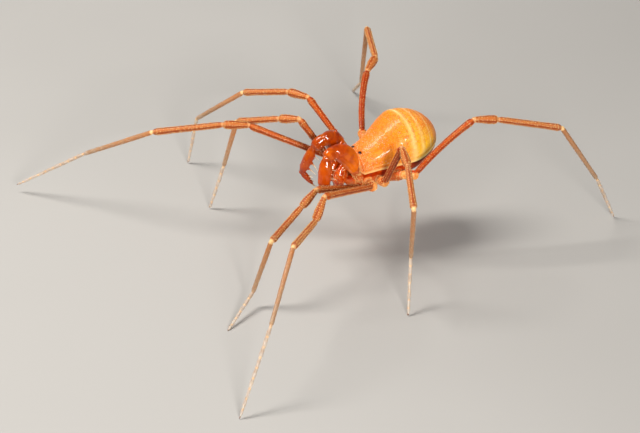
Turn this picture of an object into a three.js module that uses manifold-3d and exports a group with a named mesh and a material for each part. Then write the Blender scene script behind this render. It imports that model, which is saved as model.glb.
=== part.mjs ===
// An orange harvestman of the armoured kind, as a still, life-size model.
// Millimetres, +Z up. The animal faces -Y, its left side is +X, and it stands on the plane z = 0.
// Every part is one closed solid. The parts meet at their joints with a hair's breadth between them.

import * as THREE from "three";
import { mergeVertices } from "three/addons/utils/BufferGeometryUtils.js";
import Module from "manifold-3d";

const wasm = await Module();
wasm.setup();

// Driving sizes. Body places are given as [forward, left, up] from the middle of the abdomen.

const BODY_HEIGHT = 5.1; // middle of the abdomen above the floor
const JOINT_GAP = 0.03; // clear space between two parts that meet
const MERGE_DISTANCE = 1e-4; // corners nearer than this are one corner

const SHIELD = {
  front: 2.97, // front edge of the back shield
  widest: 0.2, // place of its greatest width and height
  rear: -1.97, // rear end
  frontHalfWidth: 1.0,
  halfWidth: 1.7,
  frontTop: 0.45,
  top: 1.86,
  foreFall: 0.8, // below 1 the back falls more steeply towards the head
  frontRim: -0.52,
  rim: -0.22,
  rearRise: 0.34, // how much higher the rim is at the rear end
  rearRoundness: 2.05, // 2 would be an ellipse
  archRoundness: 2.25,
  archSteps: 22, // flats across one arch
  headSpacing: 0.19, // from one arch of the head shield to the next
  abdomenSpacing: 0.28,
  endArches: [0.012, 0.032, 0.082, 0.172], // arches close to the rear end, measured from it
  endReach: 0.33, // where the evenly spaced arches of the abdomen begin, from the rear end
  frontRound: 0.2, // length over which the front edge rounds off
  frontShrink: 0.34, // share of its width and height that is gone at the very front
  frontSharpness: 2.4,
  frontMiddle: 0.45, // height about which it rounds off, as a share of the way from rim to top
  frontArches: [0.03, 0.1], // arches close to the front edge, measured from it
  headBreak: 1.25, // groove between the head shield and the abdomen
  grooves: [0.64, -0.08, -0.62, -1.14], // grooves between the plates of the abdomen
  grooveDepth: 0.035,
  grooveHalfWidth: 0.05,
  grooveArches: [-1.6, 0, 1.6], // arches set at each groove, in half widths of the groove
};

const UNDERSIDE = {
  inset: 0.1, // how far the rim of the shield stands out over the soft side
  frontInset: 0.02, // how far behind the shield's front edge it starts
  frontDepth: 0.72,
  depth: 1.12,
  rearDepth: 0.86,
  coxaEnd: 0.6, // rear end of the head's underside
  plateStart: -1.3, // front of the rear plates
  rearPlates: 3,
  plateRidge: 0.035, // how much lower the middle of a rear plate hangs than its edges
  rearEnd: 0.06, // how far before the shield's rear end the plates stop
  depthLoss: 0.93, // share of the depth that is gone at the rear end
  insetLoss: 0.6, // share of the inset that is gone at the rear end
  crease: 0.03, // depth of the folds of the soft underside
  steps: 16, // flats across one hanging arch
  fullness: 0.8, // below 1 the arch is fuller than half a circle
};

const EYE = { place: [2.7, 0.34, 0.42], radius: 0.12 };

// The jaws before the mouth: a short base, a hanging hand, and two fingers that close like pincers.
const CHELICERA = {
  root: [3.03, 0.28, -0.3],
  elbow: [3.8, 0.34, -0.1],
  wrist: [4.02, 0.37, -1.12],
  fingerTip: [4.02, 0.2, -1.56],
  base: { radii: [[0, 0.18], [0.7, 0.22]], ball: 0.18 },
  hand: { radii: [[0, 0.14], [0.3, 0.31], [0.7, 0.31], [0.95, 0.22]], ball: 0.14, depth: 1.25 },
  finger: { radii: [[0, 0.1], [1, 0.03]] },
  fingerSpread: 0.08, // how far each finger stands from the middle of the hand, fore and aft
};

// What the mouth is closed with from below, and the round first joint that bears each feeler.
const MOUTH_LOBE = { place: [3.32, 0.42, -0.98], radius: 0.33 };
const PALP_COXA = { root: [2.9, 0.6, -1.0], radii: [[0, 0.26], [1, 0.24]], knobRadius: 0.28 };

// The grasping feelers beside the mouth, one set of joints for each side.
const PEDIPALP = {
  left: {
    root: [3.3, 0.76, -0.2],
    knee: [4.36, 0.56, 1.28],
    elbow: [5.0, 0.72, 1.02],
    wrist: [5.34, 0.98, -0.6],
    tip: [4.64, 0.5, -1.08],
  },
  right: {
    root: [3.3, -0.76, -0.2],
    knee: [4.12, -0.56, 1.44],
    elbow: [4.84, -0.74, 0.9],
    wrist: [5.4, -1.0, -0.52],
    tip: [5.0, -0.52, -1.2],
  },
};

// Lengths of the femur, patella, tibia, metatarsus and tarsus of each pair of legs, the places of
// their hips, and the directions of each leg in whole degrees: azimuth from straight ahead towards
// the left side, and elevation. A tarsus without an elevation comes down to the floor.

const SEGMENTS = ["femur", "patella", "tibia", "metatarsus", "tarsus"];
const LEG_PAIRS = [
  { hip: [3.18, 1.25, -1.02], coxaRoot: [2.8, 0.3, -1.16], lengths: [3.2, 1.2, 2.6, 3.0, 2.8] },
  { hip: [2.66, 1.51, -1.02], coxaRoot: [2.45, 0.3, -1.2], lengths: [5.2, 1.35, 3.8, 4.6, 4.8] },
  { hip: [1.98, 1.61, -0.91], coxaRoot: [2.0, 0.3, -1.22], lengths: [3.95, 1.3, 2.75, 3.8, 3.0] },
  { hip: [0.73, 2.5, -0.42], coxaRoot: [1.42, 0.3, -1.34], lengths: [4.25, 1.3, 3.45, 4.6, 3.0] },
];
const HIP_RADII = [0.28, 0.28, 0.26, 0.26]; // one for each pair of legs
const COXA = {
  radii: [0.31, 0.31, 0.3, 0.32],
  ringRadius: 0.2, // the narrow ring between the coxa and the round hip
  ringFromHip: [0.525, 0.525, 0.525, 0.86],
  sides: 8,
  shoulder: 0.2, // share of the length over which the coxa narrows to the ring
  neck: 0.12, // share of the length over which the ring widens to the hip
};
const HIND_FEMUR_BEND = [0.16, 0, 0.1]; // how far the middle of the hind femur stands off its chord
const LEG_POSES = {
  left: [
    { azimuths: [8, 8, 20, -10, 30], elevations: [19, -33, -19, -70] },
    { azimuths: [27, 28, 41, 43, 27], elevations: [22, -46, 11, -26] },
    { azimuths: [80, 70, 64, -118, 53], elevations: [56, -14, -21, -72] },
    { azimuths: [161, 160, 156, -179, 178], elevations: [43, -7, -13, -58] },
  ],
  right: [
    { azimuths: [-46, -55, -58, -53, -37], elevations: [53, -12, -18, -75] },
    { azimuths: [-38, -28, -39, -54, -50], elevations: [21, 4, -11, -29, -34] },
    { azimuths: [-81, -65, -58, -61, -54], elevations: [30, -3, -15, -40] },
    { azimuths: [-126, -143, -115, -112, -111], elevations: [20, 8, -2, -70] },
  ],
};

// Outline of each leg segment: pairs of the share of its length and the radius there.
const LEG_OUTLINES = {
  femur: { radii: [[0, 0.16], [0.12, 0.2], [0.5, 0.225], [0.86, 0.24], [0.97, 0.19]], ball: 0.15 },
  patella: { radii: [[0, 0.16], [0.2, 0.21], [0.6, 0.25], [0.86, 0.24], [0.95, 0.18]], ball: 0.15 },
  tibia: { radii: [[0, 0.16], [0.1, 0.21], [0.5, 0.22], [0.9, 0.225], [0.97, 0.17]], ball: 0.14 },
  metatarsus: { radii: [[0, 0.15], [0.06, 0.19], [0.5, 0.18], [0.93, 0.17], [0.98, 0.14]], ball: 0.11 },
  tarsus: { radii: [[0, 0.12], [0.06, 0.15], [0.5, 0.125], [0.85, 0.1], [1, 0.08]], ball: 0 },
};
const FOOT_SIDES = 8; // flats round a metatarsus or tarsus
const ROD_SIDES = 10; // flats round a limb that doesn't state its own
const BALL_SIDES = 10;
const BALL_RINGS = 7;

// Finish of each kind of surface.
const FINISHES = {
  shield: { color: 0xe8872b, roughness: 0.38 },
  banded: { color: 0xeaa33a, roughness: 0.34 },
  underside: { color: 0xb8481c, roughness: 0.45 },
  coxa: { color: 0xe39a5c, roughness: 0.42 },
  amber: { color: 0xb9560f, roughness: 0.2 },
  leg: { color: 0xb5602c, roughness: 0.42 },
  foot: { color: 0xc9b39a, roughness: 0.6 },
  eye: { color: 0x2a0d08, roughness: 0.08 },
};

// Solids

function solidOf(geometry) {
  const bare = geometry.clone();
  bare.deleteAttribute("normal");
  bare.deleteAttribute("uv");
  const merged = mergeVertices(bare, MERGE_DISTANCE);
  const corners = [];
  const { array } = merged.index;
  for (let i = 0; i < array.length; i += 3) {
    const [a, b, c] = array.slice(i, i + 3);
    if (a !== b && b !== c && c !== a) corners.push(a, b, c);
  }
  const triVerts = new Uint32Array(corners);
  const vertProperties = merged.attributes.position.array;
  return new wasm.Manifold(new wasm.Mesh({ numProp: 3, vertProperties, triVerts }));
}

function geometryOf(solid) {
  const { vertProperties, triVerts } = solid.getMesh();
  const geometry = new THREE.BufferGeometry();
  geometry.setAttribute("position", new THREE.BufferAttribute(vertProperties, 3));
  geometry.setIndex(new THREE.BufferAttribute(triVerts, 1));
  geometry.computeVertexNormals();
  return geometry;
}

function largest(solid) {
  return solid.decompose().reduce((best, piece) => (piece.volume() > best.volume() ? piece : best));
}

function join(geometries) {
  const whole = geometries.map(solidOf).reduce((sum, piece) => sum.add(piece));
  return geometryOf(largest(whole));
}

function cutAway(geometry, cutters) {
  const rest = cutters.map(solidOf).reduce((left, cutter) => left.subtract(cutter), solidOf(geometry));
  return geometryOf(largest(rest));
}

// Places in the body's own terms

function at([forward, left, up]) {
  return new THREE.Vector3(left, -forward, up);
}

function mirrored([forward, left, up]) {
  return [forward, -left, up];
}

function onSide(place, side) {
  return side === "left" ? place : mirrored(place);
}

// A solid skinned over rings that each hold the same number of corners, closed by a fan at both ends.
function loft(rings) {
  const corners = [];
  const faces = [];
  const count = rings[0].length;
  rings.forEach((ring) => ring.forEach((corner) => corners.push(corner.x, corner.y, corner.z)));
  for (let r = 0; r < rings.length - 1; r += 1) {
    for (let i = 0; i < count; i += 1) {
      const next = (i + 1) % count;
      const [a, b] = [r * count + i, r * count + next];
      faces.push(a, b, b + count, a, b + count, a + count);
    }
  }
  [0, rings.length - 1].forEach((r) => {
    const middle = rings[r].reduce((sum, corner) => sum.add(corner), new THREE.Vector3());
    middle.divideScalar(count);
    const hub = corners.length / 3;
    corners.push(middle.x, middle.y, middle.z);
    for (let i = 0; i < count; i += 1) {
      const [a, b] = [r * count + i, r * count + ((i + 1) % count)];
      faces.push(...(r === 0 ? [hub, b, a] : [hub, a, b]));
    }
  });
  const geometry = new THREE.BufferGeometry();
  geometry.setAttribute("position", new THREE.Float32BufferAttribute(corners, 3));
  geometry.setIndex(faces);
  return geometry;
}

function smooth(share) {
  return share * share * (3 - 2 * share);
}

function mix(from, to, share) {
  return from + (to - from) * share;
}

// Half width, top and rim height of the back shield at a place along the body.
function shieldSection(along) {
  const { widest, front, rear } = SHIELD;
  if (along >= widest) {
    const share = smooth(((along - widest) / (front - widest)) ** SHIELD.foreFall);
    return {
      halfWidth: mix(SHIELD.halfWidth, SHIELD.frontHalfWidth, share),
      top: mix(SHIELD.top, SHIELD.frontTop, share),
      rim: mix(SHIELD.rim, SHIELD.frontRim, share),
    };
  }
  const share = (widest - along) / (widest - rear);
  const shrink = (1 - share ** SHIELD.rearRoundness) ** (1 / SHIELD.rearRoundness);
  const rim = SHIELD.rim + SHIELD.rearRise * smooth(share);
  return { halfWidth: SHIELD.halfWidth * shrink, top: mix(rim, SHIELD.top, shrink), rim };
}

function grooveAt(along) {
  const places = [SHIELD.headBreak, ...SHIELD.grooves];
  const deepest = places.map((place) => Math.exp(-(((along - place) / SHIELD.grooveHalfWidth) ** 2)));
  return SHIELD.grooveDepth * Math.max(...deepest);
}

// How much is left of the width and height where the front edge rounds off.
function frontRounding(along) {
  const over = Math.max(0, (along - SHIELD.front) / SHIELD.frontRound + 1);
  return 1 - SHIELD.frontShrink * over ** SHIELD.frontSharpness;
}

// One arch of the back shield, from its left rim over the top to its right rim.
function shieldRing(along) {
  const { halfWidth, top, rim } = shieldSection(along);
  const sink = grooveAt(along);
  const shrink = frontRounding(along);
  const middle = mix(rim, top, SHIELD.frontMiddle);
  const power = 2 / SHIELD.archRoundness;
  const steps = SHIELD.archSteps;
  const ring = [];
  for (let i = 0; i <= steps; i += 1) {
    const angle = (Math.PI * i) / steps;
    const across = Math.sign(Math.cos(angle)) * Math.abs(Math.cos(angle)) ** power;
    const height = Math.sin(angle) ** power;
    const left = (halfWidth - sink) * across * shrink;
    const up = rim + (top - rim - sink) * height;
    ring.push(at([along, left, middle + (up - middle) * shrink]));
  }
  return ring;
}

// Places along the body where an arch is set: evenly, and close together at each groove.
function stations(from, to, step) {
  const count = Math.round((to - from) / step);
  const places = Array.from({ length: count + 1 }, (unused, i) => mix(from, to, i / count));
  SHIELD.grooves.forEach((groove) => {
    if (groove > from && groove < to) {
      SHIELD.grooveArches.forEach((shift) => places.push(groove + shift * SHIELD.grooveHalfWidth));
    }
  });
  const sorted = places.sort((a, b) => a - b);
  return sorted.filter((place, i) => i === 0 || place - sorted[i - 1] > SHIELD.grooveHalfWidth / 2);
}

function headShieldGeometry() {
  const { front, frontArches, headBreak, headSpacing } = SHIELD;
  const roundFront = frontArches.map((shift) => front - shift);
  const places = [...stations(headBreak + JOINT_GAP / 2, front, headSpacing), ...roundFront];
  return loft(places.sort((a, b) => a - b).map((along) => shieldRing(along)));
}

function abdomenShieldGeometry() {
  const { rear, endArches, endReach, headBreak, abdomenSpacing } = SHIELD;
  const roundEnd = endArches.map((shift) => rear + shift);
  const places = [...roundEnd, ...stations(rear + endReach, headBreak - JOINT_GAP / 2, abdomenSpacing)];
  return loft(places.map((along) => shieldRing(along)));
}

// One hanging arch of the soft underside, closed by a flat top just under the shield.
function undersideRing(along, depth, inset = UNDERSIDE.inset) {
  const { steps, fullness } = UNDERSIDE;
  const { halfWidth, rim } = shieldSection(along);
  const shrink = frontRounding(along);
  const ring = [];
  for (let i = 0; i <= steps; i += 1) {
    const angle = (Math.PI * i) / steps;
    const left = -(halfWidth - inset) * shrink * Math.cos(angle);
    ring.push(at([along, left, rim - JOINT_GAP - depth * Math.sin(angle) ** fullness]));
  }
  return ring;
}

function headUndersideGeometry() {
  const rings = [];
  const steps = 6; // rings along the head
  for (let i = 0; i <= steps; i += 1) {
    const share = i / steps;
    const along = mix(UNDERSIDE.coxaEnd + JOINT_GAP, SHIELD.front - UNDERSIDE.frontInset, share);
    rings.push(undersideRing(along, mix(UNDERSIDE.depth, UNDERSIDE.frontDepth, smooth(share))));
  }
  return loft(rings);
}

function abdomenUndersideGeometry() {
  const rings = [];
  const steps = 8; // two for each fold
  for (let i = 0; i <= steps; i += 1) {
    const share = i / steps;
    const along = mix(UNDERSIDE.plateStart + JOINT_GAP, UNDERSIDE.coxaEnd, share);
    const crease = i % 2 === 0 ? 0 : UNDERSIDE.crease;
    rings.push(undersideRing(along, mix(UNDERSIDE.rearDepth, UNDERSIDE.depth, share) - crease));
  }
  return loft(rings);
}

// The free plates behind the shield and the lid over the vent, each a little lower than the last.
function rearPlatesGeometry() {
  const { plateStart, rearEnd, rearDepth, depthLoss, insetLoss, plateRidge, inset } = UNDERSIDE;
  const rings = [];
  const perPlate = 3;
  const steps = UNDERSIDE.rearPlates * perPlate;
  for (let i = 0; i <= steps; i += 1) {
    const share = i / steps;
    const along = mix(plateStart, SHIELD.rear + rearEnd, share);
    const ridge = i % perPlate === 0 ? plateRidge : 0;
    const depth = rearDepth * Math.sqrt(1 - (depthLoss * share) ** 2) - ridge;
    rings.unshift(undersideRing(along, depth, inset * (1 - insetLoss * share)));
  }
  return loft(rings);
}

// A rod with a changing radius from one place to another, with rounded ends.
// radii holds pairs of the share of the length and the radius there; ball is the radius of the round
// head at its far joint; depth is how much deeper than wide the rod is; bend is how far its middle
// stands off the straight line; sides counts its flats; grow thickens it all over.
function rodGeometry({ length, radii, ball = 0, depth = 1, bend, sides = ROD_SIDES, grow = 0 }) {
  const profile = [new THREE.Vector2(0, -grow)];
  radii.forEach(([share, radius]) => {
    const reach = share === 0 ? -grow : share * length + (share === 1 ? grow : 0);
    profile.push(new THREE.Vector2(radius + grow, reach));
  });
  const headSteps = 3;
  if (ball > 0) {
    for (let i = 1; i < headSteps; i += 1) {
      const angle = (Math.PI / 2) * (i / headSteps);
      const reach = (ball + grow) * Math.sin(angle);
      profile.push(new THREE.Vector2((ball + grow) * Math.cos(angle), length + reach));
    }
    profile.push(new THREE.Vector2(0, length + ball + grow));
  } else {
    profile.push(new THREE.Vector2(0, length + grow));
  }
  const geometry = new THREE.LatheGeometry(profile, sides);
  const position = geometry.attributes.position;
  for (let i = 0; i < position.count; i += 1) {
    const share = position.getY(i) / length;
    const swing = bend ? 4 * share * (1 - share) : 0;
    position.setX(i, position.getX(i) + (bend ? bend.x * swing : 0));
    position.setZ(i, position.getZ(i) * depth + (bend ? bend.z * swing : 0));
  }
  return geometry;
}

// The turn that brings a rod from +Y to the line between two points, with its depth upright.
function turnAlong(from, to) {
  const along = to.clone().sub(from).normalize();
  const side = along.clone().cross(new THREE.Vector3(0, 0, 1)).normalize();
  const upright = side.clone().cross(along);
  return new THREE.Quaternion().setFromRotationMatrix(new THREE.Matrix4().makeBasis(side, along, upright));
}

// A rod between two places, still along +Y, whose bend is given in the body's own directions.
function rodBetween(from, to, outline) {
  const length = from.distanceTo(to);
  const bend = outline.bend && at(outline.bend).applyQuaternion(turnAlong(from, to).invert());
  return rodGeometry({ length, ...outline, bend });
}

// A rod already laid between two places, as bare geometry.
function laidRod(from, to, outline) {
  const turn = turnAlong(from, to);
  return rodBetween(from, to, outline).applyQuaternion(turn).translate(from.x, from.y, from.z);
}

function ball(place, radius, grow = 0) {
  const sphere = new THREE.SphereGeometry(radius + grow, BALL_SIDES, BALL_RINGS);
  return sphere.translate(place.x, place.y, place.z);
}

// Parts

const harvestman = new THREE.Group();
const body = new THREE.Group();
body.position.z = BODY_HEIGHT;
harvestman.add(body);

function addPart(parent, name, geometry, finish) {
  const material = new THREE.MeshStandardMaterial({ metalness: 0, ...FINISHES[finish] });
  const mesh = new THREE.Mesh(geometryOf(solidOf(geometry)), material);
  mesh.name = name;
  parent.add(mesh);
  return mesh;
}

const SIDES = ["left", "right"];

// The slightly larger shape of each rod, in the body's frame, which its neighbours stay clear of.
const clearances = new Map();

function addRod(name, from, to, outline, finish) {
  const mesh = addPart(body, name, rodBetween(from, to, outline), finish);
  mesh.quaternion.copy(turnAlong(from, to));
  mesh.position.copy(from);
  mesh.updateMatrix();
  clearances.set(name, laidRod(from, to, { ...outline, grow: JOINT_GAP }));
}

// Shapes of the body's frame in the frame of one part.
function inPart(mesh, geometries) {
  const back = mesh.matrix.clone().invert();
  return geometries.map((geometry) => geometry.clone().applyMatrix4(back));
}

// Cuts from a part what its neighbours take up, so that the two meet face to face.
function fitAgainst(name, cutters) {
  const mesh = body.getObjectByName(name);
  mesh.geometry = cutAway(mesh.geometry, inPart(mesh, cutters));
}

// Fuses pieces with the part that they grow from.
function growOn(name, pieces) {
  const mesh = body.getObjectByName(name);
  mesh.geometry = join([mesh.geometry, ...inPart(mesh, pieces)]);
}

function hipPlace(pair, side) {
  return at(onSide(LEG_PAIRS[pair].hip, side));
}

// Each leg's first piece is a ridge under the body, and a narrow ring parts it from the round hip.
function coxaGeometry(pair, side) {
  const root = at(onSide(LEG_PAIRS[pair].coxaRoot, side));
  const hip = hipPlace(pair, side);
  const thick = COXA.radii[pair];
  const ring = 1 - COXA.ringFromHip[pair] / root.distanceTo(hip);
  const shoulder = [ring - COXA.shoulder, thick];
  const hipRadius = HIP_RADII[pair];
  const neck = [ring + COXA.neck, hipRadius];
  const radii = [[0, thick], shoulder, [ring, COXA.ringRadius], neck, [1, hipRadius]];
  return laidRod(root, hip, { radii, ball: hipRadius, sides: COXA.sides });
}

function palpKnob(side, grow = 0) {
  return ball(at(PEDIPALP[side].root), PALP_COXA.knobRadius, grow);
}

function mouthLobe(side, grow = 0) {
  return ball(at(onSide(MOUTH_LOBE.place, side)), MOUTH_LOBE.radius, grow);
}

function palpCoxa(side, grow = 0) {
  const root = at(onSide(PALP_COXA.root, side));
  return laidRod(root, at(PEDIPALP[side].root), { radii: PALP_COXA.radii, grow });
}

function addBody() {
  const headShield = headShieldGeometry();
  addPart(body, "head_shield", headShield, "shield");
  addPart(body, "abdomen_shield", abdomenShieldGeometry(), "banded");
  addPart(body, "abdomen_underside", abdomenUndersideGeometry(), "underside");
  addPart(body, "abdomen_rear_plates", rearPlatesGeometry(), "underside");
  const coxae = LEG_PAIRS.flatMap((unused, pair) => SIDES.map((side) => coxaGeometry(pair, side)));
  const mouthParts = SIDES.flatMap((side) => [palpCoxa(side), palpKnob(side), mouthLobe(side)]);
  addPart(body, "head_underside", join([headUndersideGeometry(), ...coxae, ...mouthParts]), "coxa");
  SIDES.forEach((side) => {
    const place = at(onSide(EYE.place, side));
    addPart(body, "eye_" + side, cutAway(ball(place, EYE.radius), [headShield]), "eye");
  });
}

const PALP_OUTLINES = {
  femur: {
    radii: [[0, 0.24], [0.2, 0.38], [0.55, 0.47], [0.85, 0.46], [0.97, 0.37]],
    ball: 0.28,
    depth: 1.15,
    bend: [-0.16, 0, 0.12], // the back of the feeler is arched
  },
  patella: { radii: [[0, 0.2], [0.25, 0.3], [0.6, 0.34], [0.9, 0.3], [1, 0.22]], ball: 0.19, depth: 1.05 },
  tibia: {
    radii: [[0, 0.19], [0.2, 0.31], [0.5, 0.36], [0.85, 0.32], [0.97, 0.23]],
    ball: 0.18,
    depth: 0.75, // flattened from side to side
  },
  tarsus: { radii: [[0, 0.14], [0.2, 0.18], [0.6, 0.15], [0.85, 0.08], [1, 0.03]], ball: 0 },
};
const PALP_SEGMENTS = Object.keys(PALP_OUTLINES);
const PALP_JOINTS = ["root", "knee", "elbow", "wrist", "tip"];

// Spines of the grasping feelers. Each has the share of the segment's length where it stands, its turn in
// degrees from the side that faces the middle of the curl towards the body's middle line, how far it
// stands out, and how much of that it leans towards the tip.
const PALP_CURL = [4.45, 0.7, 0.1];
const PALP_SPINES = {
  femur: [[0.22, 14, 0.24, 0.2], [0.42, -16, 0.28, 0.2], [0.54, 62, 0.26, 0.2], [0.93, 172, 0.16, 0.9]],
  patella: [[0.6, 62, 0.3, 0.3], [0.66, -60, 0.2, 0.3]],
  tibia: [
    [0.26, 50, 0.4, 0.15], [0.5, 62, 0.68, 0.3], [0.76, 54, 0.6, 0.1],
    [0.36, -34, 0.34, 0.2], [0.66, -28, 0.42, 0.1],
  ],
  tarsus: [[0.42, 56, 0.42, 0.4], [0.72, 50, 0.32, 0.5], [0.52, -56, 0.38, 0.4]],
};
// The claw at a feeler's end: where it starts along the tarsus, how far it reaches beyond the tip, and how
// far it turns towards the middle of the curl.
const PALP_CLAW = { start: 0.8, reach: 0.34, drop: 0.12 };
const SPINE = { rootRadius: 0.09, waist: [0.45, 0.055], sides: 4, sunk: 0.5 };

// Radius of an outline at a share of its length.
function radiusAt(radii, share) {
  const next = Math.max(1, radii.findIndex(([place]) => place >= share));
  const [[place, radius], [nextPlace, nextRadius]] = [radii[next - 1], radii[next]];
  return mix(radius, nextRadius, (share - place) / (nextPlace - place));
}

function spineGeometry(from, to) {
  const { rootRadius, waist, sides } = SPINE;
  return laidRod(from, to, { radii: [[0, rootRadius], waist, [1, 0]], sides });
}

// The spines of one segment of a feeler, each from well inside it to its own tip.
function palpSpines(segment, from, to, side) {
  const { radii, depth = 1, bend = [0, 0, 0] } = PALP_OUTLINES[segment];
  const along = to.clone().sub(from).normalize();
  const inner = at(onSide(PALP_CURL, side)).sub(from);
  inner.addScaledVector(along, -inner.dot(along)).normalize();
  const midward = along.clone().cross(inner);
  if (midward.x > 0 === (side === "left")) midward.negate();
  const upright = new THREE.Vector3(0, 0, 1).applyQuaternion(turnAlong(from, to));
  return PALP_SPINES[segment].map(([share, turn, reach, lean]) => {
    const angle = THREE.MathUtils.degToRad(turn);
    const out = inner.clone().multiplyScalar(Math.cos(angle)).addScaledVector(midward, Math.sin(angle));
    const rise = out.dot(upright);
    const skin = radiusAt(radii, share) / Math.sqrt(1 - rise ** 2 + (rise / depth) ** 2);
    const middle = from.clone().lerp(to, share).addScaledVector(at(bend), 4 * share * (1 - share));
    const root = middle.clone().addScaledVector(out, skin * SPINE.sunk);
    const tip = middle.addScaledVector(out, skin + reach).addScaledVector(along, reach * lean);
    return spineGeometry(root, tip);
  });
}

function palpClaw(side) {
  const [wrist, tip, curl] = [PEDIPALP[side].wrist, PEDIPALP[side].tip, onSide(PALP_CURL, side)].map(at);
  const along = tip.clone().sub(wrist).normalize();
  const end = tip.clone().addScaledVector(along, PALP_CLAW.reach);
  end.addScaledVector(curl.sub(tip).normalize(), PALP_CLAW.drop);
  return spineGeometry(wrist.lerp(tip, PALP_CLAW.start), end);
}

function addPedipalp(side) {
  const joints = PALP_JOINTS.map((name) => at(PEDIPALP[side][name]));
  Object.entries(PALP_OUTLINES).forEach(([segment, outline], i) => {
    const name = `pedipalp_${side}_${segment}`;
    addRod(name, joints[i], joints[i + 1], outline, "amber");
    const before = clearances.get(`pedipalp_${side}_${PALP_SEGMENTS[i - 1]}`);
    fitAgainst(name, [before ?? palpKnob(side, JOINT_GAP)]);
    growOn(name, palpSpines(segment, joints[i], joints[i + 1], side));
  });
  growOn(`pedipalp_${side}_tarsus`, [palpClaw(side)]);
}

function addChelicera(side) {
  const [root, elbow, wrist, fingerTip] = ["root", "elbow", "wrist", "fingerTip"].map((name) =>
    at(onSide(CHELICERA[name], side)),
  );
  const { base, hand, finger, fingerSpread } = CHELICERA;
  const feeler = clearances.get(`pedipalp_${side}_femur`);
  const neighbours = [feeler, palpKnob(side, JOINT_GAP), palpCoxa(side, JOINT_GAP)];
  addRod(`chelicera_${side}_base`, root, elbow, base, "amber");
  fitAgainst(`chelicera_${side}_base`, neighbours);
  const pieces = [laidRod(elbow, wrist, hand)];
  [-fingerSpread, fingerSpread].forEach((shift) => {
    const spread = new THREE.Vector3(0, shift, 0);
    pieces.push(laidRod(wrist.clone().add(spread), fingerTip.clone().add(spread), finger));
  });
  addPart(body, `chelicera_${side}_hand`, join(pieces), "amber");
  neighbours.push(clearances.get(`chelicera_${side}_base`), mouthLobe(side, JOINT_GAP));
  fitAgainst(`chelicera_${side}_hand`, neighbours);
}

const FLOOR_BLOCK = { width: 60, depth: 4 };
const belowFloor = new THREE.BoxGeometry(FLOOR_BLOCK.width, FLOOR_BLOCK.width, FLOOR_BLOCK.depth);
belowFloor.translate(0, 0, -BODY_HEIGHT - FLOOR_BLOCK.depth / 2);

function direction(azimuth, elevation) {
  const turn = THREE.MathUtils.degToRad(azimuth);
  const rise = THREE.MathUtils.degToRad(elevation);
  return at([Math.cos(turn) * Math.cos(rise), Math.sin(turn) * Math.cos(rise), Math.sin(rise)]);
}

// The joints of one leg from the hip to the tip, in the body's frame.
function legJoints(pair, side) {
  const { azimuths, elevations } = LEG_POSES[side][pair];
  const { lengths } = LEG_PAIRS[pair];
  const joints = [hipPlace(pair, side)];
  lengths.forEach((length, i) => {
    const last = joints[i];
    const drop = -(last.z + BODY_HEIGHT) / length;
    const toFloor = THREE.MathUtils.radToDeg(Math.asin(drop));
    const step = direction(azimuths[i], elevations[i] ?? toFloor).multiplyScalar(length);
    joints.push(last.clone().add(step));
  });
  return joints;
}

function addLeg(pair, side) {
  const joints = legJoints(pair, side);
  const hip = ball(joints[0], HIP_RADII[pair], JOINT_GAP);
  SEGMENTS.forEach((segment, i) => {
    const name = `leg_${side}_${pair + 1}_${segment}`;
    const finish = segment === "tarsus" ? "foot" : "leg";
    const bend = pair === 3 && segment === "femur" ? HIND_FEMUR_BEND : undefined;
    const sides = i < SEGMENTS.indexOf("metatarsus") ? ROD_SIDES : FOOT_SIDES;
    addRod(name, joints[i], joints[i + 1], { ...LEG_OUTLINES[segment], bend, sides }, finish);
    const cutters = [i === 0 ? hip : clearances.get(`leg_${side}_${pair + 1}_${SEGMENTS[i - 1]}`)];
    if (segment === "tarsus") cutters.push(belowFloor);
    fitAgainst(name, cutters);
  });
}

addBody();
SIDES.forEach((side) => {
  addPedipalp(side);
  addChelicera(side);
  LEG_PAIRS.forEach((unused, pair) => addLeg(pair, side));
});

// The origin is the middle of the model's footprint, on the floor.
const box = new THREE.Box3().setFromObject(harvestman, true);
harvestman.position.set(-(box.min.x + box.max.x) / 2, -(box.min.y + box.max.y) / 2, 0);
harvestman.updateMatrixWorld(true);

export default harvestman;
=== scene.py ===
import functools
import math

import bpy
import numpy as np
from mathutils import Matrix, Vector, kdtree


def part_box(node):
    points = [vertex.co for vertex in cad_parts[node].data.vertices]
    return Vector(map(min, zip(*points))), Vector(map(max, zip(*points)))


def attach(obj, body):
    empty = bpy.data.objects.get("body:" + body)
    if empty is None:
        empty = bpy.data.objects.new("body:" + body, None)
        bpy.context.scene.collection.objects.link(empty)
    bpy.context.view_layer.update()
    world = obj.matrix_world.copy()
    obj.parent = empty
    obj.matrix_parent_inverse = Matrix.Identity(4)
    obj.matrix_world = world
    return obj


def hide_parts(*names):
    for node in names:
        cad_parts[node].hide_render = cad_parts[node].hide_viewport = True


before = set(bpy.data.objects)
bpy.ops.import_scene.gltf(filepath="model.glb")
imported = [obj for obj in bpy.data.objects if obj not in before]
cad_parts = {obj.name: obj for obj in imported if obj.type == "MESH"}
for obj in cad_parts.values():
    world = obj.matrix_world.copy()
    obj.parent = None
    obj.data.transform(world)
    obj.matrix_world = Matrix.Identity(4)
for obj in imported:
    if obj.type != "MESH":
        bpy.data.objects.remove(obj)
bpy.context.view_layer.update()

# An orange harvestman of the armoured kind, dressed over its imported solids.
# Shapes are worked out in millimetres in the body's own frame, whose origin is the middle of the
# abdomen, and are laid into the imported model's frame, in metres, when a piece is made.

MM = 0.001
rng = np.random.default_rng(7)

# Sizes of the body

BODY_HEIGHT = 5.1
SHIELD_TIP = 1.958  # rear tip of the back shield behind the middle of the abdomen
low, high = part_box("abdomen_shield")
CENTRE = np.array([(low.x + high.x) / 2 / MM, high.y / MM - SHIELD_TIP, BODY_HEIGHT])

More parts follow.
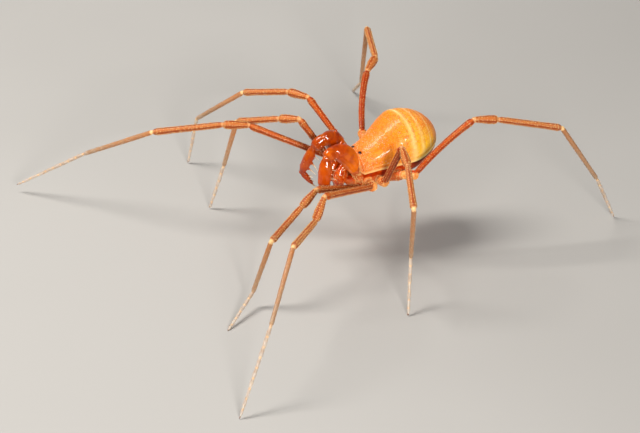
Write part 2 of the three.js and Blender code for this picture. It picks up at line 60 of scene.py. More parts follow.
FRONT, WIDEST, REAR = 2.97, 0.2, -1.97
HALF_WIDTH, FRONT_HALF_WIDTH = 1.7, 1.0
TOP, FRONT_TOP = 1.86, 0.45
FORE_FALL = 0.8  # below 1 the back falls more steeply towards the head
RIM, FRONT_RIM, REAR_RISE = -0.22, -0.52, 0.34
REAR_ROUNDNESS, ARCH_ROUNDNESS = 2.05, 2.25
GROOVES = [1.25, 0.64, -0.08, -0.62, -1.14]  # the first parts the head from the abdomen
GROOVE_DEPTHS, GROOVE_WIDTH = [0.02, 0.012, 0.016, 0.014, 0.016], 0.045
SHIELD_AROUND, SHIELD_RINGS, TIP_RINGS, FLOOR_STEPS = 180, 230, 22, 12
TIP_GAP, TIP_REACH = 0.012, 0.3  # where the first ring stands, and the stretch with closer rings
RIM_RIDGES = [(0.05, 0.018, 0.045), (0.24, 0.014, 0.045), (0.145, -0.02, 0.04)]  # place, height, half width
RIM_LINES = [(0.035, 1.0, 0.055), (0.24, 0.3, 0.03)]  # place, strength, half width, as is the next
RIM_SHADES = [(0.14, 0.22, 0.03)]
SHIELD_INSET = 0.012  # how far the finished shield lies inside the plain one, away from its ridges
BANDS = [(0.14, 0.16, 1.0), (-0.42, 0.1, 0.7), (-1.0, 0.032, 1.0)]  # place, half width, strength
FRONT_ROUND, FRONT_SHRINK, FRONT_SHARPNESS, FRONT_MIDDLE = 0.2, 0.34, 2.4, 0.45
GRAIN_BEDS = [
    {"rows": np.arange(REAR + 0.05, FRONT - 0.02, 0.085), "spacing": 0.085, "radius": 0.018, "pale": 0.45},
    {"rows": np.arange(1.5, FRONT - 0.02, 0.12), "spacing": 0.125, "radius": 0.031, "pale": 0.85},
    {"rows": [groove + 0.1 for groove in GROOVES], "spacing": 0.16, "radius": 0.028, "pale": 0.8},
]
# Names of the paints that the shell's material reads
SHIELD_PAINT = ["along", "band", "flank", "crest", "rim", "dark", "pale"]

EYE_PLACE, EYE_RADIUS = (2.7, 0.34, 0.42), 0.09
EYE_MOUNDS = [(0.06, 0.03, 0.1)]  # place from the middle of the eye, height, half width

UNDERSIDE_AROUND, UNDERSIDE_RINGS = 72, 90
REAR_DEPTH, BELLY_DEPTH, FRONT_DEPTH = 0.86, 1.12, 0.72  # of the underside below the rim
BELLY_INSET = 0.1  # how far the underside stays within the rim
FOLD_DEPTH, FOLD_SPACING = 0.035, 0.46
PLATES, PLATE_STEP, PLATE_INSET = 3, 0.045, 0.035  # free plates behind the back shield
PLATES_START, PLATES_END = -1.3, REAR + 0.07
SKIN_VOXEL, MOUTH_VOXEL = 0.03, 0.016

# Sizes of the mouthparts

CHELICERA = {
    "root": (3.03, 0.28, -0.3), "elbow": (3.8, 0.34, -0.1),
    "wrist": (4.02, 0.37, -1.12), "finger_tip": (4.02, 0.2, -1.56),
}
CHELICERA_BASE = [(-0.4, 0.15), (0, 0.18), (0.5, 0.2), (0.9, 0.21), (1.1, 0.19), (1.2, 0.12)]
CHELICERA_HAND = [
    (-0.08, 0.1), (0.05, 0.2), (0.3, 0.3), (0.7, 0.3), (0.92, 0.21), (1.0, 0.15), (1.06, 0.08),
]
FINGER, FINGER_SPREAD = [(-0.1, 0.095), (0.4, 0.07), (1, 0.02)], 0.08
PALP_JOINTS = {
    "left": [
        (3.3, 0.76, -0.2), (4.36, 0.56, 1.28), (5.0, 0.72, 1.02), (5.34, 0.98, -0.6), (4.64, 0.5, -1.08),
    ],
    "right": [
        (3.3, -0.76, -0.2), (4.12, -0.56, 1.44), (4.84, -0.74, 0.9), (5.4, -1.0, -0.52), (5.0, -0.52, -1.2),
    ],
}
PALP_OUTLINES = {
    "femur": [
        (0, 0.22), (0.08, 0.3), (0.2, 0.37), (0.55, 0.46), (0.85, 0.45), (0.95, 0.38), (1.03, 0.3),
        (1.12, 0.14),
    ],
    "patella": [(-0.03, 0.15), (0.08, 0.22), (0.3, 0.3), (0.6, 0.33), (0.85, 0.3), (1.0, 0.21)],
    "tibia": [(0, 0.17), (0.08, 0.24), (0.25, 0.32), (0.5, 0.35), (0.8, 0.315), (0.95, 0.22), (1.0, 0.17)],
    "tarsus": [(0, 0.12), (0.2, 0.165), (0.6, 0.135), (0.85, 0.075), (1.0, 0.03)],
}
PALP_DEPTHS = {"femur": 1.15, "patella": 1.05, "tibia": 0.75, "tarsus": 1.0}
PALP_ARCH = (-0.16, 0, 0.12)  # how far the middle of the feeler's femur stands off its chord
PALP_SEGMENTS = list(PALP_OUTLINES)
PALP_BALLS = (0.2, 0.185, 0.15)  # radii of the balls in its three joints
# painted shade: the far feeler, on the right, is darkened all over
PALP_SHADE = {"left": 0, "right": 0.6}
PALP_COXA = {"root": (2.9, 0.6, -1.0), "radius": 0.25, "end_radius": 0.22, "knob": 0.27}
MOUTH_LOBE = {"place": (3.32, 0.42, -0.98), "radius": 0.32}

# Spines of the grasping feelers: share of the segment, turn in degrees from the side that faces the middle
# of the curl towards the body's middle line, how far it stands out, and its lean to the segment's tip.
PALP_CURL = (4.45, 0.7, 0.1)
PALP_SPINES = {
    "femur": [(0.22, 14, 0.22, 0.2), (0.42, -16, 0.26, 0.2), (0.54, 62, 0.24, 0.2), (0.34, 50, 0.12, 0.2)],
    "patella": [(0.6, 62, 0.28, 0.3), (0.66, -60, 0.18, 0.3), (0.8, 46, 0.13, 0.2), (0.4, -44, 0.1, 0.2)],
    "tibia": [
        (0.26, 50, 0.38, 0.15), (0.5, 62, 0.66, 0.3), (0.76, 54, 0.58, 0.1), (0.36, -34, 0.32, 0.2),
        (0.66, -28, 0.4, 0.1), (0.38, 28, 0.15, 0.2), (0.62, 20, 0.17, 0.2), (0.46, -68, 0.13, 0.3),
        (0.86, -56, 0.16, 0.3),
    ],
    "tarsus": [
        (0.42, 56, 0.4, 0.4), (0.72, 50, 0.3, 0.5), (0.52, -56, 0.36, 0.4), (0.26, -70, 0.14, 0.3),
        (0.58, 62, 0.22, 0.4), (0.84, -48, 0.14, 0.4),
    ],
}
PALP_TUBERCLE = (0.93, 172, 0.15, 0.9)  # pointed hump on the back of the feeler's femur
TUBERCLE_RADII = [0.16, 0.11, 0.07, 0.03, 0.01]
SPINE_TAPER = np.array([1.0, 0.95, 0.85, 0.72, 0.56, 0.38, 0.14])  # shares of a spine's radius, foot to tip

# Sizes of the legs, pair by pair: hip, root of the coxa, and lengths of the five segments

LEG_PAIRS = [
    {"hip": (3.18, 1.25, -1.02), "root": (2.8, 0.3, -1.16), "lengths": [3.2, 1.2, 2.6, 3.0, 2.8]},
    {"hip": (2.66, 1.51, -1.02), "root": (2.45, 0.3, -1.2), "lengths": [5.2, 1.35, 3.8, 4.6, 4.8]},
    {"hip": (1.98, 1.61, -0.91), "root": (2.0, 0.3, -1.22), "lengths": [3.95, 1.3, 2.75, 3.8, 3.0]},
    {"hip": (0.73, 2.5, -0.42), "root": (1.42, 0.3, -1.34), "lengths": [4.25, 1.3, 3.45, 4.6, 3.0]},
]
HIP_RADII = [0.27, 0.27, 0.25, 0.25]
COXA_RADII = [0.295, 0.295, 0.285, 0.305]
RING_FROM_HIP = [0.525, 0.525, 0.525, 0.86]  # the narrow ring between the coxa and the round hip
# how pale each coxa is at its root: partly its own pale colour, and the first two pairs are painted paler
# still, painted light on coxae that lie in shade
COXA_PALE_AND_LIT = [1.0, 1.0, 0.35, 0.3]
TARSUS_RINGS = [6, 9, 7, 7]  # ringed pieces of the foot
RING_DEPTH, RING_CREAM = 0.16, 0.5

# Azimuths of the five segments, and elevations. Without a last elevation the foot is on the floor.
LEG_POSES = {
    "left": [
        ([8, 8, 20, -10, 30], [19, -33, -19, -70]),
        ([27, 28, 41, 43, 27], [22, -46, 11, -26]),
        ([80, 70, 64, -118, 53], [56, -14, -21, -72]),
        ([161, 160, 156, -179, 178], [43, -7, -13, -58]),
    ],
    "right": [
        ([-46, -55, -58, -53, -37], [53, -12, -18, -75]),
        ([-38, -28, -39, -54, -50], [21, 4, -11, -29, -34]),
        ([-81, -65, -58, -61, -54], [30, -3, -15, -40]),
        ([-126, -143, -115, -112, -111], [20, 8, -2, -70]),
    ],
}
HIND_FEMUR_BEND = (0.16, 0, 0.1)
SIDES = {"left": 1, "right": -1}
SEGMENTS = ["femur", "patella", "tibia", "metatarsus", "tarsus"]

# Radius along each leg segment: share of the length, and radius. The last steps are the lip over the joint.
LEG_OUTLINES = {
    "femur": [
        (0, 0.12), (0.05, 0.145), (0.12, 0.16), (0.5, 0.166), (0.82, 0.178), (0.93, 0.194), (0.965, 0.178),
        (0.98, 0.13),
    ],
    "patella": [
        (0, 0.13), (0.07, 0.15), (0.3, 0.182), (0.62, 0.228), (0.84, 0.222), (0.93, 0.182), (0.95, 0.14),
    ],
    "tibia": [
        (0, 0.13), (0.04, 0.155), (0.15, 0.165), (0.7, 0.168), (0.92, 0.184), (0.965, 0.164), (0.98, 0.12),
    ],
    "metatarsus": [(0, 0.11), (0.03, 0.13), (0.3, 0.13), (0.8, 0.115), (0.97, 0.115), (0.985, 0.08)],
    "tarsus": [(0, 0.075), (0.03, 0.095), (0.5, 0.08), (0.85, 0.065), (0.965, 0.04)],
}
JOINT_BALLS = [0.13, 0.13, 0.11, 0.08]  # radius of the soft joint after each segment
JOINT_CREAM = [0.3, 0.42, 0.36, 0.7, 0.5, 0]  # how pale each joint is, from the hip to the foot tip
CREAM_REACH = 0.1
SEGMENT_FADE = [(0.12, 0.22), (0.27, 0.32), (0.36, 0.5), (0.58, 0.82), (0.9, 1.0)]  # in the leg's colours
FEMUR_RED = {("right", 3): 1.0, ("left", 2): 0.85, ("left", 3): 0.35, ("right", 2): 0.4}  # red brown femora
RED_FADE = 0.06
# Names of the paints that the skin's material reads
SKIN_PAINT = ["fade", "cream", "limb", "coxa", "stripe", "rim_shadow"]

# Sizes of the covering of the legs

LEG_GRAINS = [0.022, 0.03, 0.028]  # radius of the grains on femur, patella and tibia
GRAIN_ROWS, GRAIN_SPACING = 8, 0.115
LIP_GRAINS, COXA_GRAINS = 14, 260
LEG_HAIRS = {  # hairs on each millimetre, and their length
    "femur": (9, 0.1), "patella": (12, 0.1), "tibia": (18, 0.12), "metatarsus": (46, 0.13),
    "tarsus": (90, 0.115),
}
HAIR_RADIUS, HAIR_SINK = 0.0065, 0.006
GRAIN_REACH, HAIR_REACH = 0.045, 0.05  # how near the skin a root must be
CLAW_SPREAD, CLAW_RADII = 0.03, [0.026, 0.022, 0.015, 0.005]
BAKE_PATCH = 0.003  # side of the patch that one small form has on its unwrap
UNWRAP_USED = 0.99  # share of the unwrap's side that the patches start in

# Camera, lights and floor

CAMERA_WAY, CAMERA_DISTANCE = (58, 32), 190.0  # azimuth off the nose and elevation
PHOTO_WIDTH, PHOTO_HEIGHT = 640, 433
BODY_PIXEL = (400, 143)  # where the middle of the abdomen is in the photograph
PIXELS_PER_MM = 19.2
SENSOR = 36.0

# For each light: the way to it and the way of its long side, as back, right and up from the camera's view,
# its distance, size, power and colour. Without a way of its own the long side is level.
LIGHTS = {
    "key": ((0.45, -0.7, 0.95), (0, 0.87, 0.49), 120, (76, 28), 0.16, (1.0, 0.98, 0.95)),
    "fill": ((0.9, 0.15, -0.1), None, 150, (36, 30), 0.195, (1.0, 0.98, 0.96)),
    "rim": ((-0.7, 0.2, 0.9), None, 140, (110, 60), 0.006, (1.0, 1.0, 1.0)),
}
WORLD_LIGHT = 0.13
FLOOR_HALF = 0.6  # metres


# Plain helpers

def at(place, side=1):
    """A place given as forward, left and up, in the body's own frame. A side of -1 is the right side."""
    forward, left, up = place
    return np.array([left * side, -forward, up], float)


def smooth(share):
    share = np.clip(share, 0, 1)
    return share * share * (3 - 2 * share)


def mix(start, end, share):
    return start + (end - start) * share


def bell(value, middle, half_width):
    return np.exp(-(((value - middle) / half_width) ** 2))


def unit(vectors):
    return vectors / np.maximum(np.linalg.norm(vectors, axis=-1, keepdims=True), 1e-9)


def circle(steps):
    return np.linspace(0, 2 * np.pi, steps, endpoint=False)


def rows_where(keep, *lists):
    return [rows[keep] for rows in lists]


# Surfaces as corners and faces

def loft(rings):
    """A closed skin over rings of corners, with a fan at both ends, its faces turned outwards."""
    rings = np.asarray(rings, float)
    count, around = rings.shape[:2]
    index = np.arange(count * around).reshape(count, around)
    near, far = index[:-1], index[1:]
    quads = np.stack([near, np.roll(near, -1, 1), np.roll(far, -1, 1), far], -1).reshape(-1, 4)
    corners = np.concatenate([rings.reshape(-1, 3), [rings[0].mean(0), rings[-1].mean(0)]])
    first, last = count * around, count * around + 1
    faces = quads.tolist()
    faces += [[first, b, a] for a, b in zip(index[0], np.roll(index[0], -1))]
    faces += [[last, a, b] for a, b in zip(index[-1], np.roll(index[-1], -1))]
    return outward(corners, faces)


def outward(corners, faces):
    volume = sum(
        np.dot(corners[f[0]], np.cross(corners[f[k]], corners[f[k + 1]]))
        for f in faces
        for k in range(1, len(f) - 1)
    )
    return corners, (faces if volume > 0 else [f[::-1] for f in faces])


def joined(shells):
    corners, faces, count = [], [], 0
    for shell_corners, shell_faces in shells:
        corners.append(shell_corners)
        faces += [[i + count for i in f] for f in shell_faces]
        count += len(shell_corners)
    return np.concatenate(corners), faces


def ball(place, radius, steps=10):
    turns = circle(2 * steps)
    rings = []
    for rise in np.linspace(-np.pi / 2, np.pi / 2, steps + 1)[1:-1]:
        flat = np.stack([np.cos(turns), np.sin(turns), np.full_like(turns, np.tan(rise))], 1) * np.cos(rise)
        rings.append(place + radius * flat)
    return loft(rings)


def axes_of(along):
    """Side and upright directions of a rod that points along."""
    along = unit(np.asarray(along, float))
    side = unit(np.cross(along, [0, 0, 1]))
    return side, np.cross(side, along)


class Bone:
    """The middle line of a limb's piece, with its radius, frame and paint at each sample."""

    def __init__(self, start, end, outline, bend=(0, 0, 0), depth=1.0, spacing=0.03):
        places, radii = zip(*outline)
        self.length = float(np.linalg.norm(end - start))
        count = max(8, int(self.length * (places[-1] - places[0]) / spacing))
        self.share = np.linspace(places[0], places[-1], count)
        self.along = (end - start) / self.length
        self.side, self.upright = axes_of(self.along)
        self.radius, self.depth = np.interp(self.share, places, radii), depth
        self.fade, self.cream = np.zeros(count), np.zeros(count)
        bend = np.asarray(bend, float)
        bend = bend - self.along * bend.dot(self.along)
        swing = 4 * self.share * (1 - self.share)
        self.middle = start + np.outer(self.share, end - start) + np.outer(swing, bend)

    def middle_at(self, share):
        return np.array([np.interp(share, self.share, self.middle[:, k]) for k in range(3)]).T

    def shell(self, around=24):
        turns = circle(around)
        spokes = np.outer(np.cos(turns), self.side) + np.outer(np.sin(turns) * self.depth, self.upright)
        return loft(self.middle[:, None, :] + self.radius[:, None, None] * spokes[None])

    def point(self, share, turn, lift=0.0):
        """Places on the surface, and the ways out of it."""
        radius = np.interp(share, self.share, self.radius)
        way = np.cos(turn)[:, None] * self.side + (np.sin(turn) * self.depth)[:, None] * self.upright
        return self.middle_at(share) + (radius + lift)[:, None] * way, unit(way)


def plain_bone(start, end, outline, fade):
    bone = Bone(start, end, outline)
    bone.fade = bone.fade + fade
    return bone


# Legs

def direction(azimuth, elevation):
    turn, rise = math.radians(azimuth), math.radians(elevation)
    return at((math.cos(turn) * math.cos(rise), math.sin(turn) * math.cos(rise), math.sin(rise)))


def leg_joints(side, pair):
    """The joints from the hip to the foot tip. A segment with no elevation of its own ends on the floor."""
    azimuths, elevations = LEG_POSES[side][pair]
    joints = [at(LEG_PAIRS[pair]["hip"], SIDES[side])]
    for i, length in enumerate(LEG_PAIRS[pair]["lengths"]):
        drop = -(joints[-1][2] + BODY_HEIGHT) / length
        rise = elevations[i] if i < len(elevations) else math.degrees(math.asin(drop))
        joints.append(joints[-1] + length * direction(azimuths[i], rise))
    return joints


class Leg:
    """The joints of one leg and the bones between them, with their paint."""

    def __init__(self, side, pair):
        self.side, self.pair = side, pair
        self.joints = leg_joints(side, pair)
        self.bones = []
        for i, segment in enumerate(SEGMENTS):
            bend = at(HIND_FEMUR_BEND) if pair == 3 and segment == "femur" else (0, 0, 0)
            bone = Bone(self.joints[i], self.joints[i + 1], LEG_OUTLINES[segment], bend)
            low_fade, high_fade = SEGMENT_FADE[i]
            if segment == "femur":
                red = FEMUR_RED.get((side, pair), 0)
                low_fade, high_fade = mix(low_fade, 0, red), mix(high_fade, RED_FADE, red)
            bone.fade = mix(low_fade, high_fade, bone.share)
            reach = bone.share * bone.length
            near = JOINT_CREAM[i] * bell(reach, 0, CREAM_REACH)
            far = JOINT_CREAM[i + 1] * bell(reach, bone.length, CREAM_REACH)
            bone.cream = np.maximum(near, far)
            if segment == "tarsus":
                ring = np.abs(np.cos(np.pi * TARSUS_RINGS[pair] * bone.share))
                bone.radius = bone.radius * (1 - RING_DEPTH * ring**6)
                bone.cream = np.maximum(bone.cream, RING_CREAM * ring**8)
            self.bones.append(bone)

    def shells(self):
        balls = [ball(joint, radius) for joint, radius in zip(self.joints[1:], JOINT_BALLS)]
        return [bone.shell() for bone in self.bones] + balls


def coxa_bone(side, pair):
    """The leg's first piece under the body, a narrow ring, and the round hip."""
    root, hip = (at(LEG_PAIRS[pair][end], SIDES[side]) for end in ("root", "hip"))
    length = np.linalg.norm(hip - root)
    ring = 1 - RING_FROM_HIP[pair] / length
    thick, hip_radius = COXA_RADII[pair], HIP_RADII[pair]
    outline = [
        (0, thick), (ring - 0.2, thick), (ring - 0.05, thick * 0.86), (ring, 0.19), (ring + 0.08, 0.23),
        (1 - 0.1 / length, hip_radius), (1 + 0.06 / length, hip_radius * 0.95), (1 + 0.16 / length, 0.17),
    ]
    bone = Bone(root, hip, outline)
    reach = bone.share * length
    # the paler roots of the first two pairs are partly painted light
    bone.fade = mix(COXA_PALE_AND_LIT[pair], 1.0, smooth((reach - ring * length) / 0.1))
    bone.cream = 0.5 * bell(reach, ring * length, 0.05) + 0.25 * bell(reach, length + 0.14, 0.05)
    return bone


# Body

def shield_section(along):
    """Half width, height of the top and height of the rim at places along the body."""
    along = np.asarray(along, float)
    fore = smooth(np.clip((along - WIDEST) / (FRONT - WIDEST), 0, 1) ** FORE_FALL)
    aft = np.clip((WIDEST - along) / (WIDEST - REAR), 0, 1)
    shrink = np.maximum(1 - aft**REAR_ROUNDNESS, 0) ** (1 / REAR_ROUNDNESS)
    ahead = along >= WIDEST
    half_width = np.where(ahead, mix(HALF_WIDTH, FRONT_HALF_WIDTH, fore), HALF_WIDTH * shrink)
    raised = RIM + REAR_RISE * smooth(aft)
    top = np.where(ahead, mix(TOP, FRONT_TOP, fore), mix(raised, TOP, shrink))
    rim = np.where(ahead, mix(RIM, FRONT_RIM, fore), raised)
    return half_width, top, rim


def front_rounding(along):
    over = np.clip((along - FRONT) / FRONT_ROUND + 1, 0, 1)
    return 1 - FRONT_SHRINK * over**FRONT_SHARPNESS


def shield_point(along, angle):
    """The plain shield: a place along the body and an angle from the left rim over the top."""
    half_width, top, rim = shield_section(along)
    shrink = front_rounding(along)
    power = 2 / ARCH_ROUNDNESS
    across = np.sign(np.cos(angle)) * np.abs(np.cos(angle)) ** power
    height = np.abs(np.sin(angle)) ** power
    middle = mix(rim, top, FRONT_MIDDLE)
    left = half_width * across * shrink
    up = middle + (rim + (top - rim) * height - middle) * shrink
    return np.stack([left, -np.broadcast_to(along, left.shape), up], -1)


def surface_frame(point, along, angle, step=0.004):
    """Places on a surface, and the ways out of it."""
    here = point(along, angle)
    ahead = point(along + step, angle) - point(along - step, angle)
    across = point(along, angle + step) - point(along, angle - step)
    return here, unit(np.cross(across, ahead))


def rim_distance(along, angle):
    """Roughly how far a place on the shield is from its rim."""
    half_width, top, rim = shield_section(along)
    to_side = np.minimum(angle, np.pi - angle) * (half_width + top - rim) / 2
    return np.minimum(to_side, np.maximum(FRONT - along, 0) * 1.4 + 0.02)


def eye_distance(places):
    return np.minimum(*(np.linalg.norm(places - at(EYE_PLACE, sign), axis=-1) for sign in SIDES.values()))


def bells(distance, sizes):
    return sum(height * bell(distance, place, width) for place, height, width in sizes)


def shield_place(along, angle):
    """The finished shield, with its ridges, grooves and eye mounds."""
    here, out = surface_frame(shield_point, along, angle)
    to_rim = rim_distance(along, angle)
    sunk = sum(depth * bell(along, groove, GROOVE_WIDTH) for groove, depth in zip(GROOVES, GROOVE_DEPTHS))
    relief = bells(to_rim, RIM_RIDGES) + bells(eye_distance(here), EYE_MOUNDS)
    relief = relief - sunk * smooth(to_rim / 0.5) - SHIELD_INSET
    return here + out * relief[..., None]


def underside_shell():
    """The soft underside, whose top is hidden in the shield."""
    rings = []
    turns = circle(UNDERSIDE_AROUND)
    bulge = np.abs(np.sin(turns)) ** 0.8
    for along in np.linspace(REAR + 0.16, FRONT - 0.05, UNDERSIDE_RINGS):
        half_width, top, rim = shield_section(along)
        belly = mix(REAR_DEPTH, BELLY_DEPTH, smooth((along + 1.3) / 1.9))
        depth = mix(belly, FRONT_DEPTH, smooth((along - 0.6) / (FRONT - 0.6)))
        depth *= math.sqrt(max(0.05, 1 - 0.9 * smooth((-1.1 - along) / 0.9)))
        depth -= FOLD_DEPTH * abs(math.cos(math.pi * along / FOLD_SPACING)) ** 6 * (along < 0.6)
        flat = np.cos(turns) * max(half_width * front_rounding(along) - BELLY_INSET, 0.02)
        up = np.where(np.sin(turns) < 0, rim - depth * bulge, rim + 0.4 * (top - rim) * bulge)
        rings.append(np.stack([flat, np.full_like(flat, -along), up], 1))
    return loft(rings)


# Making pieces

def in_world(corners):
    return (np.asarray(corners) + CENTRE) * MM


def mesh_of(name, corners, faces):
    mesh = bpy.data.meshes.new(name)
    mesh.from_pydata(np.asarray(corners).tolist(), [], faces)
    return mesh


def add_object(name, data):
    obj = bpy.data.objects.new(name, data)
    bpy.context.scene.collection.objects.link(obj)
    return obj


def dress(obj, paint, material, nodes=()):
    """Gives a piece its paint and its material, hangs it under the body's root, and hides the imported parts
    that it stands for.
    """
    mesh = obj.data
    for name, values in paint.items():
        attribute = mesh.attributes.new(name, "FLOAT", "POINT")
        attribute.data.foreach_set("value", np.asarray(values, np.float32))
    mesh.polygons.foreach_set("use_smooth", np.ones(len(mesh.polygons), bool))
    mesh.materials.clear()
    mesh.materials.append(material)
    mesh.update()
    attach(obj, "root")
    if nodes:
        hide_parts(*nodes)
    return obj


def make_piece(name, corners, faces, paint, material, nodes=()):
    return dress(add_object(name, mesh_of(name, in_world(corners), faces)), paint, material, nodes)


def grown_piece(name, shells, voxel, paint_of, material, nodes):
    """One closed surface round overlapping shells. Gives back its corners, in millimetres."""
    rough = mesh_of(name + "_rough", *joined(shells))
    obj = add_object(name, rough)
    remesh = obj.modifiers.new("grow", "REMESH")
    remesh.mode = "VOXEL"
    remesh.voxel_size = voxel
    soften = obj.modifiers.new("soften", "SMOOTH")
    soften.factor = 0.5
    soften.iterations = 2
    graph = bpy.context.evaluated_depsgraph_get()
    mesh = bpy.data.meshes.new_from_object(obj.evaluated_get(graph))
    obj.modifiers.clear()
    obj.data = mesh
    mesh.name = name
    bpy.data.meshes.remove(rough)
    corners = np.empty(len(mesh.vertices) * 3, np.float32)
    mesh.vertices.foreach_get("co", corners)
    corners = corners.reshape(-1, 3).astype(float)
    placed = in_world(corners)
    placed[:, 2] = np.maximum(placed[:, 2], 0)
    mesh.vertices.foreach_set("co", placed.astype(np.float32).ravel())
    dress(obj, {**paint_of(corners), "tip": np.zeros(len(corners))}, material, nodes)
    return corners


def tree_of(places):
    tree = kdtree.KDTree(len(places))
    for i, place in enumerate(places):
        tree.insert(place, i)
    tree.balance()
    return tree


def nearest_samples(corners, bones):
    """For each corner: which bone sample is nearest, and how far off its middle line it is, in radii."""
    middles = np.concatenate([bone.middle for bone in bones])
    radii = np.concatenate([bone.radius * max(1, bone.depth) for bone in bones])
    tree = tree_of(middles)
    nearest = np.array([tree.find(corner)[1] for corner in corners])
    off = np.linalg.norm(corners - middles[nearest], axis=1) / radii[nearest]
    return nearest, off


def turns_about(corners, nearest, bones):
    """The angle of each corner round its nearest bone, from the bone's side towards its upright."""
    counts = [len(bone.share) for bone in bones]
    side = np.repeat([bone.side for bone in bones], counts, axis=0)[nearest]
    upright = np.repeat([bone.upright for bone in bones], counts, axis=0)[nearest]
    away = corners - np.concatenate([bone.middle for bone in bones])[nearest]
    return np.arctan2((away * upright).sum(1), (away * side).sum(1))


# Small forms that cover a surface. Each is a copy of a template, laid over its root.

def ring_corners(rings, around, tip_bow):
    """Corners of a small form: rings of radius, height and bow, then its tip."""
    corners = []
    for radius, height, bow in rings:
        corners += [(radius * math.cos(t), radius * math.sin(t), height, bow) for t in circle(around)]
    return np.array(corners + [(0, 0, 1, tip_bow)])


def side_faces(around):
    """Faces between two rings of corners and a tip."""
    faces = []
    for i in range(around):
        j = (i + 1) % around
        faces.append((i, j, around + j, around + i))
        faces.append((around + i, around + j, 2 * around))
    return faces


def dome_template(around=7):
    corners = ring_corners([(1.05, -0.5, 0), (0.72, 0.6, 0)], around, 0)
    return corners, [tuple(range(around))[::-1], *side_faces(around)]


def hair_template(around=3):
    """A hair with few sides that bows towards the way it lies."""
    corners = ring_corners([(1.0, -0.12, 0.0), (0.7, 0.55, 0.12)], around, 0.42)
    return corners, [tuple(range(around))[::-1], *side_faces(around)]


class Cover:
    """Gathers many small forms, with the paint of the places that they grow from, into one piece."""

    def __init__(self, names):
        self.names = names
        self.corners, self.faces, self.spots = [], [], []
        self.paint = {name: [] for name in [*names, "tip"]}
        self.count = 0

    def add(self, template, places, out, lie, widths, heights, paint, spots):
        """Copies a template to each place: out is its way up, lie the way it leans or lies."""
        shape, faces = template
        size, amount = len(shape), len(places)
        if not amount:
            return
        across = unit(np.cross(lie, out))
        ahead = np.cross(out, across)
        widths, heights = np.broadcast_to(widths, amount), np.broadcast_to(heights, amount)
        corners = places[:, None, :]
        ways = [(widths, across), (widths, ahead), (heights, out), (heights, ahead)]
        for k, (scale, way) in enumerate(ways):
            corners = corners + scale[:, None, None] * shape[None, :, k, None] * way[:, None, :]
        self.corners.append(corners.reshape(-1, 3))
        for start in range(self.count, self.count + amount * size, size):
            self.faces += [tuple(start + k for k in face) for face in faces]
        self.count += amount * size
        for name in self.names:
            self.paint[name].append(np.repeat(np.broadcast_to(paint.get(name, 0.0), amount), size))
        self.paint["tip"].append(np.tile(np.clip(shape[:, 2], 0, 1), amount))
        patch = BAKE_PATCH * (0.5 + 0.45 * shape[:, :2] / np.abs(shape[:, :2]).max())
        self.spots.append((np.asarray(spots)[:, None, :] + patch[None]).reshape(-1, 2))

    def make(self, name, material):
        corners = np.concatenate(self.corners)
        corners[:, 2] = np.maximum(corners[:, 2], -BODY_HEIGHT)
        paint = {key: np.concatenate(values) for key, values in self.paint.items()}
        obj = make_piece(name, corners, self.faces, paint, material)
        mesh = obj.data
        index = np.empty(len(mesh.loops), np.int32)
        mesh.loops.foreach_get("vertex_index", index)
        flat = mesh.uv_layers.new(name="OFBake")
        spots = np.concatenate(self.spots)[index]
        flat.data.foreach_set("uv", spots.astype(np.float32).ravel())


def on_strip(number, strips, share, turn):
    """A place on an unwrap that gives each limb's piece one strip: its length by its turn."""
    wide = (number + 0.9 * (turn % (2 * np.pi)) / (2 * np.pi)) / strips
    return np.stack([np.clip(share, 0, 1), wide], 1) * UNWRAP_USED


# Materials

def srgb(red, green, blue):
    """A colour as it looks on a screen, 0 to 255, as the linear colour that a shader takes."""
    share = np.array([red, green, blue]) / 255
    linear = np.where(share <= 0.04045, share / 12.92, ((share + 0.055) / 1.055) ** 2.4)
    return (*linear.tolist(), 1.0)


